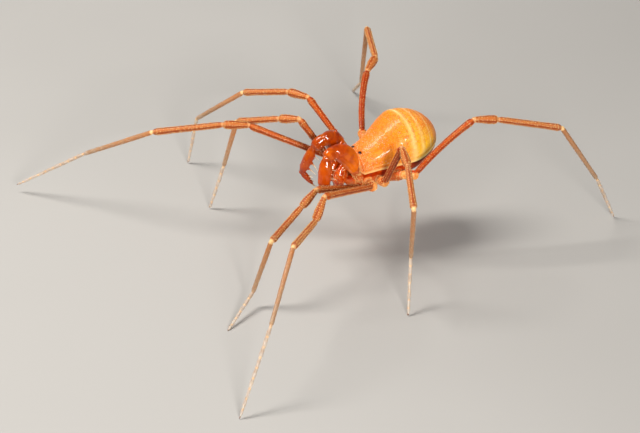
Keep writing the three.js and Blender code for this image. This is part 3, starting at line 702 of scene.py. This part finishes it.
class Shader:
    """A small builder for one material's nodes, with places in millimetres and colours as on a screen."""

    def __init__(self, name):
        self.material = bpy.data.materials.new(name)
        self.material.use_nodes = True
        self.tree = self.material.node_tree
        self.tree.nodes.clear()
        self.surface = self.node("BsdfPrincipled")
        self.node("OutputMaterial", {"Surface": self.surface.outputs["BSDF"]})
        place = self.node("TexCoord").outputs["Object"]
        scaled = self.node("VectorMath", {0: place, "Scale": 1 / MM}, operation="SCALE")
        self.place = scaled.outputs["Vector"]

    def node(self, kind, inputs=None, **settings):
        node = self.tree.nodes.new("ShaderNode" + kind)
        for name, value in settings.items():
            setattr(node, name, value)
        for name, value in (inputs or {}).items():
            self.put(value, node.inputs[name])
        return node

    def put(self, value, target):
        if hasattr(value, "links"):
            self.tree.links.new(value, target)
        elif isinstance(value, tuple):
            target.default_value = srgb(*value)
        else:
            target.default_value = value

    def paint(self, name):
        return self.node("Attribute", attribute_name=name).outputs["Fac"]

    def noise(self, scale, detail=3.0, rough=0.55):
        inputs = {"Vector": self.place, "Scale": scale, "Detail": detail, "Roughness": rough}
        return self.node("TexNoise", inputs).outputs["Fac"]

    def cells(self, scale):
        return self.node("TexVoronoi", {"Vector": self.place, "Scale": scale}).outputs["Distance"]

    def math(self, kind, first, second):
        return self.node("Math", {0: first, 1: second}, operation=kind).outputs["Value"]

    def times(self, first, second):
        return self.math("MULTIPLY", first, second)

    def steps(self, value, start, end, start_to=0.0, end_to=1.0):
        """Turns a range of a value smoothly into another range."""
        inputs = {"Value": value, "From Min": start, "From Max": end, "To Min": start_to, "To Max": end_to}
        return self.node("MapRange", inputs, interpolation_type="SMOOTHSTEP").outputs["Result"]

    def ramp(self, value, stops):
        node = self.node("ValToRGB", {"Fac": value})
        elements = node.color_ramp.elements
        while len(elements) < len(stops):
            elements.new(0.5)
        for element, (place, colour) in zip(elements, stops):
            element.position = place
            element.color = srgb(*colour)
        return node.outputs["Color"]

    def blend(self, first, second, share, strength=None):
        """Lays the second colour over the first, by a share and a strength of it."""
        if strength is not None:
            share = self.times(share, strength)
        return self.node("Mix", {0: share, 6: first, 7: second}, data_type="RGBA").outputs[2]

    def bump(self, height, depth):
        inputs = {"Strength": 1.0, "Distance": depth * MM, "Height": height}
        return self.node("Bump", inputs).outputs["Normal"]

    def finish(self, colour, rough, normal=None, soft=0.0, coat=0.0, shine=0.5):
        sockets = self.surface.inputs
        self.put(colour, sockets["Base Color"])
        sockets["Roughness"].default_value = rough
        if normal is not None:
            self.put(normal, sockets["Normal"])
        sockets["Subsurface Weight"].default_value = soft
        sockets["Subsurface Radius"].default_value = (1.0, 0.42, 0.12)
        sockets["Subsurface Scale"].default_value = 0.15 * MM
        sockets["Specular IOR Level"].default_value = shine
        sockets["Coat Weight"].default_value = coat
        sockets["Coat Roughness"].default_value = 0.05
        return self.material


# Colours as on a screen, and where along a ramp they stand

RED_ORANGE = (236, 98, 14)
CREST_ORANGE = (232, 106, 20)
PORE_RED = (196, 66, 12)
YELLOW = (255, 192, 20)
CREAM = (255, 228, 150)
GRAIN_PALE = (255, 236, 204)
JOINT_PALE = (250, 204, 142)
DARK_RED = (112, 30, 8)
RIM_SHADOW_BROWN = (70, 14, 4)
# colour of the painted shade under the shield's rim
STRIPE_BROWN = (142, 46, 12)
GLOW_ORANGE = (246, 124, 8)
VEIN_RED = (150, 34, 0)
AMBER_DARK = (132, 38, 2)

SHIELD_STOPS = [
    (0.0, (214, 118, 40)), (0.11, (236, 146, 44)), (0.21, (250, 176, 54)), (0.33, (255, 192, 60)),
    (0.42, (255, 190, 58)), (0.5, (255, 160, 34)), (0.65, (255, 152, 28)), (0.8, (255, 154, 40)),
    (0.92, (252, 150, 56)), (1.0, (232, 122, 42)),
]
LEG_STOPS = [
    (0.0, (168, 52, 4)), (0.1, (184, 72, 16)), (0.22, (194, 100, 42)), (0.3, (196, 114, 56)),
    (0.45, (190, 110, 58)), (0.6, (182, 122, 78)), (0.8, (172, 138, 108)), (1.0, (214, 202, 188)),
]
COXA_STOPS = [(0.3, (234, 118, 44)), (0.5, (244, 156, 76)), (0.7, (255, 202, 140))]
SOFT_STOPS = [(0.3, (150, 34, 0)), (0.55, (188, 56, 0)), (0.75, (222, 92, 8))]
AMBER_STOPS = [(0.3, (166, 56, 0)), (0.5, (194, 76, 0)), (0.7, (220, 108, 4))]
AMBER_RED_STOPS = [(0.35, (168, 40, 0)), (0.55, (208, 78, 4)), (0.75, (240, 136, 30))]
SPINE_STOPS = [
    (0.0, (204, 74, 8)), (0.15, (240, 150, 60)), (0.4, (255, 228, 180)), (0.85, (255, 240, 214)),
    (1.0, (180, 84, 34)),
]
HAIR_STOPS = [(0.0, (190, 134, 84)), (1.0, (250, 236, 214))]
CLAW_STOPS = [(0.0, (170, 104, 60)), (1.0, (66, 26, 12))]
EYE_STOPS = [(0.4, (22, 4, 2)), (0.7, (64, 14, 6))]
FLOOR_STOPS = [(0.4, (174, 171, 166)), (0.6, (180, 177, 172))]


def shield_material():
    shader = Shader("shield_shell")
    along, paint = shader.paint("along"), shader.paint
    colour = shader.ramp(along, SHIELD_STOPS)
    colour = shader.blend(colour, RED_ORANGE, shader.steps(shader.noise(6.0, 4.0, 0.75), 0.48, 0.58), 0.6)
    colour = shader.blend(colour, YELLOW, paint("flank"), 0.7)
    colour = shader.blend(colour, CREST_ORANGE, paint("crest"), 0.42)
    mottle = shader.steps(shader.noise(2.6, 3.0), 0.35, 0.65, 0.55, 1.0)
    colour = shader.blend(colour, CREAM, shader.times(paint("band"), mottle), 0.85)
    pores = shader.steps(shader.cells(7.0), 0.05, 0.2, 1.0, 0.0)
    front = shader.steps(along, 0.6, 0.86, 0.35, 1.0)
    colour = shader.blend(colour, PORE_RED, shader.times(pores, front), 0.75)
    colour = shader.blend(colour, GRAIN_PALE, paint("tip"), paint("pale"))
    colour = shader.blend(colour, CREAM, paint("rim"), 0.8)
    colour = shader.blend(colour, DARK_RED, paint("dark"), 0.75)
    normal = shader.bump(shader.cells(9.0), 0.014)
    return shader.finish(colour, 0.36, normal, soft=0.06, coat=0.16, shine=0.15)


def skin_material():
    shader = Shader("skin")
    paint = shader.paint
    fade = shader.math("ADD", paint("fade"), shader.steps(shader.noise(3.0), 0.3, 0.7, -0.05, 0.05))
    leg = shader.ramp(fade, LEG_STOPS)
    leg = shader.blend(leg, STRIPE_BROWN, paint("stripe"), 0.72)
    leg = shader.blend(leg, CREAM, shader.steps(shader.noise(9.0, 4.0, 0.7), 0.58, 0.72), 0.3)
    coxa = shader.ramp(shader.noise(5.0, 4.0), COXA_STOPS)
    colour = shader.blend(shader.ramp(shader.noise(4.0), SOFT_STOPS), coxa, paint("coxa"))
    colour = shader.blend(colour, leg, paint("limb"))
    # painted shade under the shield's rim, over the soft underside
    colour = shader.blend(colour, RIM_SHADOW_BROWN, paint("rim_shadow"), 0.85)
    ragged = shader.times(paint("cream"), shader.steps(shader.noise(14.0), 0.25, 0.5, 0.6, 1.15))
    colour = shader.blend(colour, JOINT_PALE, shader.steps(ragged, 0.15, 0.75))
    colour = shader.blend(colour, CREAM, paint("tip"), 0.75)
    normal = shader.bump(shader.noise(22.0), 0.012)
    return shader.finish(colour, 0.4, normal, soft=0.06, coat=0.08, shine=0.12)


def amber_material():
    """The glassy shell of the feelers and jaws."""
    shader = Shader("amber_shell")
    paint = shader.paint
    warm = shader.ramp(shader.noise(1.1, 2.0), AMBER_STOPS)
    red_grain = shader.ramp(shader.noise(9.0, 3.0, 0.7), AMBER_RED_STOPS)
    colour = shader.blend(warm, red_grain, paint("red"))
    # painted glow: light shining through the shell near the femur's root
    colour = shader.blend(colour, GLOW_ORANGE, paint("glow"), 0.75)
    colour = shader.blend(colour, VEIN_RED, shader.steps(shader.noise(2.4, 4.0, 0.65), 0.5, 0.66, 0.0, 0.4))
    colour = shader.blend(colour, AMBER_DARK, paint("dark"), 0.7)
    colour = shader.blend(colour, CREAM, paint("tip"), 0.25)
    normal = shader.bump(shader.noise(5.0), 0.01)
    return shader.finish(colour, 0.3, normal, soft=0.08, coat=0.8, shine=0.05)


def spine_material():
    shader = Shader("spine")
    normal = shader.bump(shader.noise(20.0), 0.004)
    return shader.finish(shader.ramp(shader.paint("tip"), SPINE_STOPS), 0.18, normal, coat=0.6)


def hair_material():
    shader = Shader("hair")
    return shader.finish(shader.ramp(shader.paint("tip"), HAIR_STOPS), 0.3)


def claw_material():
    shader = Shader("claw")
    return shader.finish(shader.ramp(shader.paint("tip"), CLAW_STOPS), 0.25, coat=0.5)


def eye_material():
    shader = Shader("eye")
    return shader.finish(shader.ramp(shader.noise(6.0), EYE_STOPS), 0.08, coat=0.35, shine=0.35)


def floor_material():
    shader = Shader("pale_floor")
    return shader.finish(shader.ramp(shader.noise(0.02), FLOOR_STOPS), 0.85)


# Body and legs

def mouth_lobe(sign):
    """A bone through the lobe at one side of the mouth, as wide as a ball at each height."""
    middle, radius = at(MOUTH_LOBE["place"], sign), MOUTH_LOBE["radius"]
    rise = np.array([0.0, 0.0, radius])
    outline = [(share, radius * math.sin(math.pi * share)) for share in np.linspace(0.02, 0.98, 17)]
    return plain_bone(middle - rise, middle + rise, outline, 0.3)


def palp_coxa(side):
    outline = [(0, PALP_COXA["radius"]), (1, PALP_COXA["end_radius"])]
    return plain_bone(at(PALP_COXA["root"], SIDES[side]), at(PALP_JOINTS[side][0]), outline, 0.35)


legs = [Leg(side, pair) for side in SIDES for pair in range(4)]
coxae = [coxa_bone(side, pair) for side in SIDES for pair in range(4)]
palp_coxae = [palp_coxa(side) for side in SIDES]
lobes = [mouth_lobe(sign) for sign in SIDES.values()]


def skin_paint(corners):
    """Paint of the skin: leg colours near a leg's bones, coxa colours near the coxae, soft skin between."""
    leg_bones = [bone for leg in legs for bone in leg.bones]
    bones = leg_bones + coxae + palp_coxae + lobes
    nearest, off = nearest_samples(corners, bones)
    fade = np.concatenate([bone.fade for bone in bones])[nearest]
    cream = np.concatenate([bone.cream for bone in bones])[nearest]
    on_leg = nearest < sum(len(bone.share) for bone in leg_bones)
    on_bone = smooth((1.45 - off) / 0.4)  # full within 1.05 radii of a bone, none beyond 1.45
    limb = on_leg * on_bone
    turns = turns_about(corners, nearest, bones)
    stripe = smooth(np.cos(4 * turns) * 0.8 + 0.35) * (fade < 0.56) * (1 - cream)  # four round a leg
    _, _, rim = shield_section(-corners[:, 1])
    rim_shadow = 0.35 + 0.65 * bell(rim - corners[:, 2], 0.1, 0.13)  # painted shade on the underside, darkest just under the rim of the shield where its shadow falls
    return {
        "fade": fade,
        "cream": cream * on_bone,
        "limb": limb,
        "coxa": fade * (~on_leg) * on_bone,
        "stripe": stripe * limb,
        "rim_shadow": rim_shadow * (1 - on_bone) * smooth((corners[:, 1] + 0.6) / 0.6),
    }


def build_skin(material):
    """The one skin over the underside, the coxae and the legs. Gives back its corners, in millimetres."""
    shells = [underside_shell()]
    shells += [bone.shell() for bone in coxae + palp_coxae]
    for side, sign in SIDES.items():
        shells.append(ball(at(PALP_JOINTS[side][0]), PALP_COXA["knob"]))
        shells.append(ball(at(MOUTH_LOBE["place"], sign), MOUTH_LOBE["radius"]))
    for leg in legs:
        shells += leg.shells()
    nodes = ["abdomen_underside", "head_underside"]
    nodes += [f"leg_{leg.side}_{leg.pair + 1}_{segment}" for leg in legs for segment in SEGMENTS]
    return grown_piece("skin", shells, SKIN_VOXEL, skin_paint, material, nodes)


def shield_paint(corners, along, to_rim):
    """Paint of the back shield and its grains, from the place along the body and the distance to the rim."""
    half_width, top, rim = shield_section(along)
    height = (corners[..., 2] - rim) / np.maximum(top - rim, 0.05)
    narrow = 1.3 - 0.75 * np.clip(height, 0, 1)  # the bands are thinner on top of the back
    band = sum(strength * bell(along, place, width * narrow) for place, width, strength in BANDS)
    dark = sum(bell(along, groove, 0.022) for groove in GROOVES[2:]) * 0.14 * smooth(height / 0.3)
    dark = dark + bells(to_rim, RIM_SHADES) + bell(eye_distance(corners), EYE_RADIUS + 0.01, 0.03)
    rear_half = smooth((0.3 - along) / 0.5) * smooth((along + 1.7) / 0.7)
    return {
        "along": (along - REAR) / (FRONT - REAR),
        "band": band * smooth(height / 0.2),
        "flank": bell(height, 0.25, 0.3) * rear_half,
        "crest": smooth((height - 0.55) / 0.45),
        "rim": bells(to_rim, RIM_LINES) * mix(1, 0.7, smooth(along - 2)),
        "dark": np.clip(dark, 0, 1),
        "pale": 0.35 + 0 * along,
    }


def inner_shares(count):
    return np.linspace(0, 1, count + 2)[1:-1]


def build_shield(material):
    """The back shield, its rings closed below by a floor that bridges the rims."""
    angles = np.linspace(0, np.pi, SHIELD_AROUND)
    even = np.linspace(REAR + TIP_GAP, FRONT, SHIELD_RINGS)
    close = REAR + TIP_GAP + TIP_REACH * inner_shares(TIP_RINGS) ** 2.5
    along, angle = np.meshgrid(np.sort(np.concatenate([even, close])), angles, indexing="ij")
    surface = shield_place(along, angle)
    paint = shield_paint(surface, along, rim_distance(along, angle))
    floor = mix(surface[:, -1:], surface[:, :1], inner_shares(FLOOR_STEPS)[None, :, None])
    floor[..., 2] += 0.05
    corners, faces = loft(np.concatenate([surface, floor], 1))
    full = {"tip": np.zeros(len(corners))}
    for name, values in paint.items():
        rows = np.concatenate([values, np.repeat(values[:, :1], FLOOR_STEPS, 1)], 1)
        full[name] = np.concatenate([rows.ravel(), [rows[0].mean(), rows[-1].mean()]])
    nodes = ["head_shield", "abdomen_shield"]
    make_piece("shield", corners, faces, full, material, nodes)


def grain_rows(places, spacing):
    """Places on the back shield, spaced out along arches that lie across it."""
    alongs, angles = [], []
    for along in places:
        half_width, top, rim = shield_section(along)
        count = max(3, int((half_width + top - rim) * 1.55 / spacing))
        row = np.linspace(0.06, np.pi - 0.06, count)
        angles.append(row + rng.normal(0, 0.3 * np.pi / count, count))
        alongs.append(along + rng.normal(0, 0.3 * spacing, count))
    along = np.clip(np.concatenate(alongs), REAR + 0.03, FRONT - 0.01)
    return along, np.clip(np.concatenate(angles), 0.02, np.pi - 0.02)


def build_shield_grains(material):
    """Fine grains all over the back shield, coarse pale ones towards the head, and a row at each groove."""
    cover = Cover(SHIELD_PAINT)
    rows = [grain_rows(bed["rows"], bed["spacing"]) for bed in GRAIN_BEDS]
    for bed, (along, angle) in zip(GRAIN_BEDS, rows):
        places, out = surface_frame(shield_place, along, angle)
        to_rim = rim_distance(along, angle)
        bare = 1.5 * bell(along, 1.75, 0.4) * bell(to_rim, 0.8, 0.45)  # a smooth patch on each flank
        clear = (eye_distance(places) > EYE_RADIUS + bed["radius"]) & (rng.uniform(0, 1, len(along)) > bare)
        along, angle, places, out, to_rim = rows_where(clear, along, angle, places, out, to_rim)
        radii = bed["radius"] * rng.uniform(0.6, 1.25, len(places))
        paint = shield_paint(places, along, to_rim)
        paint["pale"] = bed["pale"] * rng.uniform(0.5, 1.0, len(places))
        spots = np.stack([paint["along"], angle / np.pi], 1) * UNWRAP_USED
        cover.add(dome_template(), places, out, (0.0, 1.0, 0.0), radii, radii * 0.8, paint, spots)
    cover.make("shield_grains", material)


def build_rear_plates(material):
    """The free plates behind the back shield, each a step under the one before."""
    rings, shares = [], np.linspace(0, 1, 72)
    turns = np.linspace(0, np.pi, 72)
    for share, along in zip(shares, np.linspace(PLATES_START, PLATES_END, len(shares))):
        half_width, _, rim = shield_section(along)
        step = PLATE_STEP * (1 - (share * PLATES) % 1) - PLATE_INSET
        depth = REAR_DEPTH * math.sqrt(1 - (0.93 * share) ** 2) + step
        flat = np.cos(turns) * (half_width - BELLY_INSET * (1 - 0.6 * share))
        up = rim - 0.03 - depth * np.sin(turns) ** 0.8
        rings.append(np.stack([flat, np.full_like(flat, -along), up], 1))
    corners, faces = loft(rings)
    share = np.clip((PLATES_START + corners[:, 1]) / (PLATES_START - PLATES_END), 0, 1)
    zero = np.zeros(len(corners))
    paint = {name: zero for name in [*SHIELD_PAINT, "tip"]}
    paint["along"] = 0.08 + zero
    paint["band"] = 0.8 * bell((share * PLATES) % 1, 0.08, 0.09)
    paint["dark"] = 0.3 + zero
    make_piece("rear_plates", corners, faces, paint, material, ["abdomen_rear_plates"])


def build_eyes(material):
    for side, sign in SIDES.items():
        corners, faces = ball(at(EYE_PLACE, sign), EYE_RADIUS, 16)
        make_piece("eyeball_" + side, corners, faces, {}, material, ["eye_" + side])


# Mouthparts

def palp_chain(side):
    joints = [at(place) for place in PALP_JOINTS[side]]
    chain = {}
    for i, (segment, outline) in enumerate(PALP_OUTLINES.items()):
        bend = at(PALP_ARCH) if segment == "femur" else (0, 0, 0)
        chain[segment] = Bone(joints[i], joints[i + 1], outline, bend, PALP_DEPTHS[segment], 0.025)
    return chain


palp_bones = {side: palp_chain(side) for side in SIDES}


def spine_line(side, segment, spine):
    """Foot, tip and way out of one spine of a feeler."""
    share, turn, reach, lean = spine
    bone = palp_bones[side][segment]
    inner = at(PALP_CURL, SIDES[side]) - at(PALP_JOINTS[side][PALP_SEGMENTS.index(segment)])
    inner = unit(inner - bone.along * inner.dot(bone.along))
    midward = np.cross(bone.along, inner)
    if (midward[0] > 0) == (side == "left"):
        midward = -midward
    out = math.cos(math.radians(turn)) * inner + math.sin(math.radians(turn)) * midward
    rise = out.dot(bone.upright)
    skin = np.interp(share, bone.share, bone.radius) / math.sqrt(1 - rise**2 + (rise / bone.depth) ** 2)
    foot = bone.middle_at(share) + out * skin
    return foot, foot + out * reach + bone.along * reach * lean, out


def tapered(foot, tip, radii, bow=0.0, sides=10):
    """A slender cone through a list of radii, bowed in its middle, and each corner's share of its length."""
    shares = np.linspace(0, 1, len(radii))
    side, upright = axes_of(tip - foot)
    turns = circle(sides)
    spokes = np.outer(np.cos(turns), side) + np.outer(np.sin(turns), upright)
    rings = []
    for share, radius in zip(shares, radii):
        middle = mix(foot, tip, share) + bow * 4 * share * (1 - share)
        rings.append(middle + radius * spokes)
    return loft(rings), np.concatenate([np.repeat(shares, sides), [0, 1]])


def make_cones(name, cones, material):
    """One piece out of the cones that tapered gives, painted by their shares."""
    shells, shares = zip(*cones)
    corners, faces = joined(shells)
    corners[:, 2] = np.maximum(corners[:, 2], -BODY_HEIGHT)
    make_piece(name, corners, faces, {"tip": np.concatenate(shares)}, material)


def palp_paint(side, corners):
    """Paint of a feeler: dark rings by the joints, a red foot, painted shade over the whole far feeler, and
    a painted glow of light through the shell at the root of the femur.
    """
    bones = list(palp_bones[side].values())
    joints = [at(joint) for joint in PALP_JOINTS[side][1:4]]
    to_joint = np.min([np.linalg.norm(corners - joint, axis=1) for joint in joints], axis=0)
    nearest, off = nearest_samples(corners, bones)
    which = np.concatenate([np.full(len(bone.share), i) for i, bone in enumerate(bones)])[nearest]
    share = np.concatenate([bone.share for bone in bones])[nearest]
    low_femur = 0.5 * smooth((0.3 - share) / 0.3)
    # the last term is painted shade over the whole far feeler
    dark = 0.6 * bell(to_joint, 0.23, 0.05) + 0.5 * smooth((off - 1.25) / 0.2) + PALP_SHADE[side]
    return {
        "red": np.select([which == 0, which == 3], [low_femur, 0.7 + 0 * share], 0.1),
        "dark": np.clip(dark, 0, 1),
        # painted glow of light through the shell, strongest at the femur's root
        "glow": (which == 0) * smooth((0.8 - share) / 0.6),
    }


def build_palp(side, material):
    """A feeler grown together out of its segments and the swollen roots of its spines."""
    shells = [bone.shell(40) for bone in palp_bones[side].values()]
    shells += [ball(at(joint), radius) for joint, radius in zip(PALP_JOINTS[side][1:4], PALP_BALLS)]
    for segment, spines in PALP_SPINES.items():
        for spine in spines:
            foot, _, out = spine_line(side, segment, spine)
            swell = 0.045 + 0.05 * spine[2]
            cone, _ = tapered(foot - out * 0.1, foot + out * swell, [1.5 * swell, swell, 0.6 * swell])
            shells.append(cone)
    foot, tip, out = spine_line(side, "femur", PALP_TUBERCLE)
    shells.append(tapered(foot - out * 0.15, tip, TUBERCLE_RADII)[0])
    nodes = [f"pedipalp_{side}_{segment}" for segment in PALP_SEGMENTS]
    paint_of = functools.partial(palp_paint, side)
    grown_piece("feeler_" + side, shells, MOUTH_VOXEL, paint_of, material, nodes)


def build_palp_spines(material):
    """The pale spines and the claws of both feelers."""
    cones = []
    for side in SIDES:
        for segment, spines in PALP_SPINES.items():
            for spine in spines:
                foot, tip, out = spine_line(side, segment, spine)
                bow = palp_bones[side][segment].along * -0.06 * spine[2]
                cones.append(tapered(foot, tip, SPINE_TAPER * (0.014 + 0.022 * spine[2]), bow))
        tarsus = palp_bones[side]["tarsus"]
        inner = unit(at(PALP_CURL, SIDES[side]) - tarsus.middle[-1])
        end = tarsus.middle[-1] + tarsus.along * 0.3 + inner * 0.12
        cones.append(tapered(tarsus.middle[-12], end, SPINE_TAPER * 0.06, inner * -0.07))
    make_cones("feeler_spines", cones, material)


def chelicera_bones(side):
    """The base, the hanging hand and the two fingers of a jaw."""
    root, elbow, wrist, tip = (at(place, SIDES[side]) for place in CHELICERA.values())
    base = Bone(root, elbow, CHELICERA_BASE)
    hand = Bone(elbow, wrist, CHELICERA_HAND, depth=1.25, spacing=0.02)
    fingers = []
    for spread in (-FINGER_SPREAD, FINGER_SPREAD):
        shift = np.array([0, spread, 0])
        fingers.append(Bone(wrist + shift, tip + shift * 0.3, FINGER, bend=shift * 1.2, spacing=0.02))
    return base, hand, fingers


def build_chelicera(side, material):
    base, hand, fingers = chelicera_bones(side)
    wrist_height = hand.middle[-1][2]

    def paint_of(corners):
        down = smooth((wrist_height + 0.05 - corners[:, 2]) / 0.3)
        return {"red": np.full(len(corners), 0.9), "dark": down * 0.5}

    shells = [base.shell(32), hand.shell(40)] + [finger.shell(16) for finger in fingers]
    nodes = [f"chelicera_{side}_base", f"chelicera_{side}_hand"]
    grown_piece("jaw_" + side, shells, MOUTH_VOXEL, paint_of, material, nodes)


def build_mouth_grains(material):
    """Coarse grains on the hands of the jaws and, fewer, on the feelers."""
    cover = Cover(["red", "dark"])
    beds = []
    for side in SIDES:
        _, hand, _ = chelicera_bones(side)
        beds += [(hand, 110, 0.9, 0.034), (hand, 26, 0.7, 0.06)]
        beds += [(palp_bones[side][segment], 16, 0.3, 0.026) for segment in PALP_SEGMENTS[1:]]
    for number, (bone, amount, red, size) in enumerate(beds):
        share, turn = rng.uniform(0.12, 0.88, amount), rng.uniform(0, 2 * np.pi, amount)
        places, out = bone.point(share, turn)
        radii = size * rng.uniform(0.6, 1.2, amount)
        spots = on_strip(number, len(beds), share, turn)
        cover.add(dome_template(8), places, out, bone.along, radii, radii * 0.9, {"red": red}, spots)
    cover.make("mouth_grains", material)


# Covering of the legs

def near_skin(places, skin_tree, reach):
    """Which places lie on the skin, and not inside it where shells overlap."""
    return np.array([skin_tree.find(place)[2] < reach for place in places], bool)


def bone_paint(bone, share, limb):
    """Paint of the grains on a bone, the same as the skin's there."""
    fade = np.interp(share, bone.share, bone.fade)
    cream = np.interp(share, bone.share, bone.cream)
    return {"fade": fade, "cream": cream, "limb": float(limb), "coxa": fade * (not limb)}


def leg_beds():
    """Rows of grains along each leg piece, a pale ring at its end, and pebbles on the coxae."""
    beds = []
    for leg in legs:
        for bone, size in zip(leg.bones, LEG_GRAINS):
            steps = int(bone.length * 0.88 / GRAIN_SPACING)
            share = np.tile(np.linspace(0.06, 0.92, steps), GRAIN_ROWS)
            share = share + rng.normal(0, 0.2 * GRAIN_SPACING / bone.length, len(share))
            turn = np.repeat((np.arange(GRAIN_ROWS) + 0.5) * 2 * np.pi / GRAIN_ROWS, steps)
            turn = turn + rng.normal(0, 0.09, len(turn))
            beds.append((bone, share, turn, size, True))
            beds.append((bone, 0.925 + rng.normal(0, 0.006, LIP_GRAINS), circle(LIP_GRAINS), 0.024, True))
    for bone in coxae + palp_coxae + lobes:
        share = rng.uniform(0.1, min(1.12, bone.share[-1]), COXA_GRAINS)
        beds.append((bone, share, rng.uniform(0, 2 * np.pi, COXA_GRAINS), 0.028, False))
    return beds


def build_leg_grains(material, skin_tree):
    """The grains of all legs and coxae as one piece."""
    cover = Cover(SKIN_PAINT)
    beds = leg_beds()
    for number, (bone, share, turn, size, limb) in enumerate(beds):
        places, out = bone.point(share, turn)
        on_skin = near_skin(places, skin_tree, GRAIN_REACH)
        share, turn, places, out = rows_where(on_skin, share, turn, places, out)
        radii = size * rng.uniform(0.65, 1.3, len(share))
        spots = on_strip(number, len(beds), share, turn)
        paint = bone_paint(bone, share, limb)
        cover.add(dome_template(6), places, out, bone.along, radii, radii, paint, spots)
    cover.make("leg_grains", material)


def build_hairs(material, skin_tree):
    """Short hairs that lie towards the tips of the legs, densest on the feet."""
    cover = Cover(["fade"])
    rods = [(bone, *LEG_HAIRS[segment]) for leg in legs for segment, bone in zip(SEGMENTS, leg.bones)]
    for number, (bone, density, length) in enumerate(rods):
        amount = int(density * bone.length)
        share, turn = rng.uniform(0.04, 0.94, amount), rng.uniform(0, 2 * np.pi, amount)
        places, out = bone.point(share, turn, -HAIR_SINK)
        on_skin = near_skin(places, skin_tree, HAIR_REACH)
        share, turn, places, out = rows_where(on_skin, share, turn, places, out)
        rise = rng.uniform(0.45, 1.0, len(share))[:, None]
        way = unit(out * rise + bone.along * 0.9)
        heights = length * rng.uniform(0.6, 1.25, len(share))
        paint = {"fade": np.interp(share, bone.share, bone.fade)}
        spots = on_strip(number, len(rods), share, turn)
        cover.add(hair_template(), places, way, bone.along, HAIR_RADIUS, heights, paint, spots)
    cover.make("leg_hairs", material)


def build_claws(material):
    """One claw on each of the first two feet of a side, and two on the others."""
    cones = []
    for leg in legs:
        foot, tip = leg.bones[-1], leg.joints[-1]
        for spread in [0.0] if leg.pair < 2 else [-CLAW_SPREAD, CLAW_SPREAD]:
            start = tip + foot.side * spread * 0.5 - foot.along * 0.16
            end = tip + foot.side * spread - foot.along * 0.03
            end[2] = max(end[2], -BODY_HEIGHT + 0.012)
            start[2] = max(start[2], -BODY_HEIGHT + 0.03)
            cones.append(tapered(start, end, CLAW_RADII, np.array([0, 0, 0.018]), 8))
    make_cones("foot_claws", cones, material)


# Camera, floor and light

def laid_frame(right, up, back, place):
    """The matrix of an object that faces against back, at a place given in millimetres."""
    rows = np.eye(4)
    rows[:3, :3] = np.stack([right, up, back], 1)
    rows[:3, 3] = np.asarray(place) * MM
    return Matrix(rows.tolist())


def add_camera():
    """Sets the camera as the photograph was taken. Gives back its back, right and up directions."""
    back = direction(*CAMERA_WAY)
    right = unit(np.cross([0, 0, 1], back))
    up = np.cross(back, right)
    focus = PIXELS_PER_MM * CAMERA_DISTANCE
    across = (BODY_PIXEL[0] - PHOTO_WIDTH / 2) / focus
    over = -(BODY_PIXEL[1] - PHOTO_HEIGHT / 2) / focus
    data = bpy.data.cameras.new("camera")
    data.sensor_width = SENSOR
    data.lens = focus / PHOTO_WIDTH * SENSOR
    data.clip_start, data.clip_end = 0.005, 5.0
    place = CENTRE + CAMERA_DISTANCE * (back - across * right - over * up)
    camera = add_object("camera", data)
    camera.matrix_world = laid_frame(right, up, back, place)
    bpy.context.scene.camera = camera
    return back, right, up


def add_light(name, out, run, distance, size, power, colour):
    data = bpy.data.lights.new(name, "AREA")
    data.shape = "RECTANGLE"
    data.size, data.size_y = size[0] * MM, size[1] * MM
    data.energy = power
    data.color = colour
    side = unit(run - out * out.dot(run))
    light = add_object(name, data)
    light.matrix_world = laid_frame(side, np.cross(out, side), out, CENTRE + out * distance)


def add_studio():
    """The camera, the lights, a dim even sky and a plain floor."""
    axes = np.stack(add_camera())
    for name, (way, run, *look) in LIGHTS.items():
        out = unit(np.dot(way, axes))
        add_light(name, out, np.dot(run, axes) if run else np.cross([0, 0, 1], out), *look)
    world = bpy.data.worlds.new("studio")
    world.use_nodes = True
    background = world.node_tree.nodes["Background"]
    background.inputs["Color"].default_value = (0.95, 0.95, 1.0, 1.0)
    background.inputs["Strength"].default_value = WORLD_LIGHT
    bpy.context.scene.world = world
    bpy.context.scene.view_settings.view_transform = "Standard"
    corners = [(x * FLOOR_HALF, y * FLOOR_HALF, 0) for x, y in ((-1, -1), (1, -1), (1, 1), (-1, 1))]
    floor = add_object("floor", mesh_of("floor", corners, [(0, 1, 2, 3)]))
    floor.data.materials.append(floor_material())


add_studio()
shell, skin_look, amber = shield_material(), skin_material(), amber_material()
skin_tree = tree_of(build_skin(skin_look))
build_shield(shell)
build_shield_grains(shell)
build_rear_plates(shell)
build_eyes(eye_material())
for side in SIDES:
    build_palp(side, amber)
    build_chelicera(side, amber)
build_palp_spines(spine_material())
build_mouth_grains(amber)
build_leg_grains(skin_look, skin_tree)
build_hairs(hair_material(), skin_tree)
build_claws(claw_material())
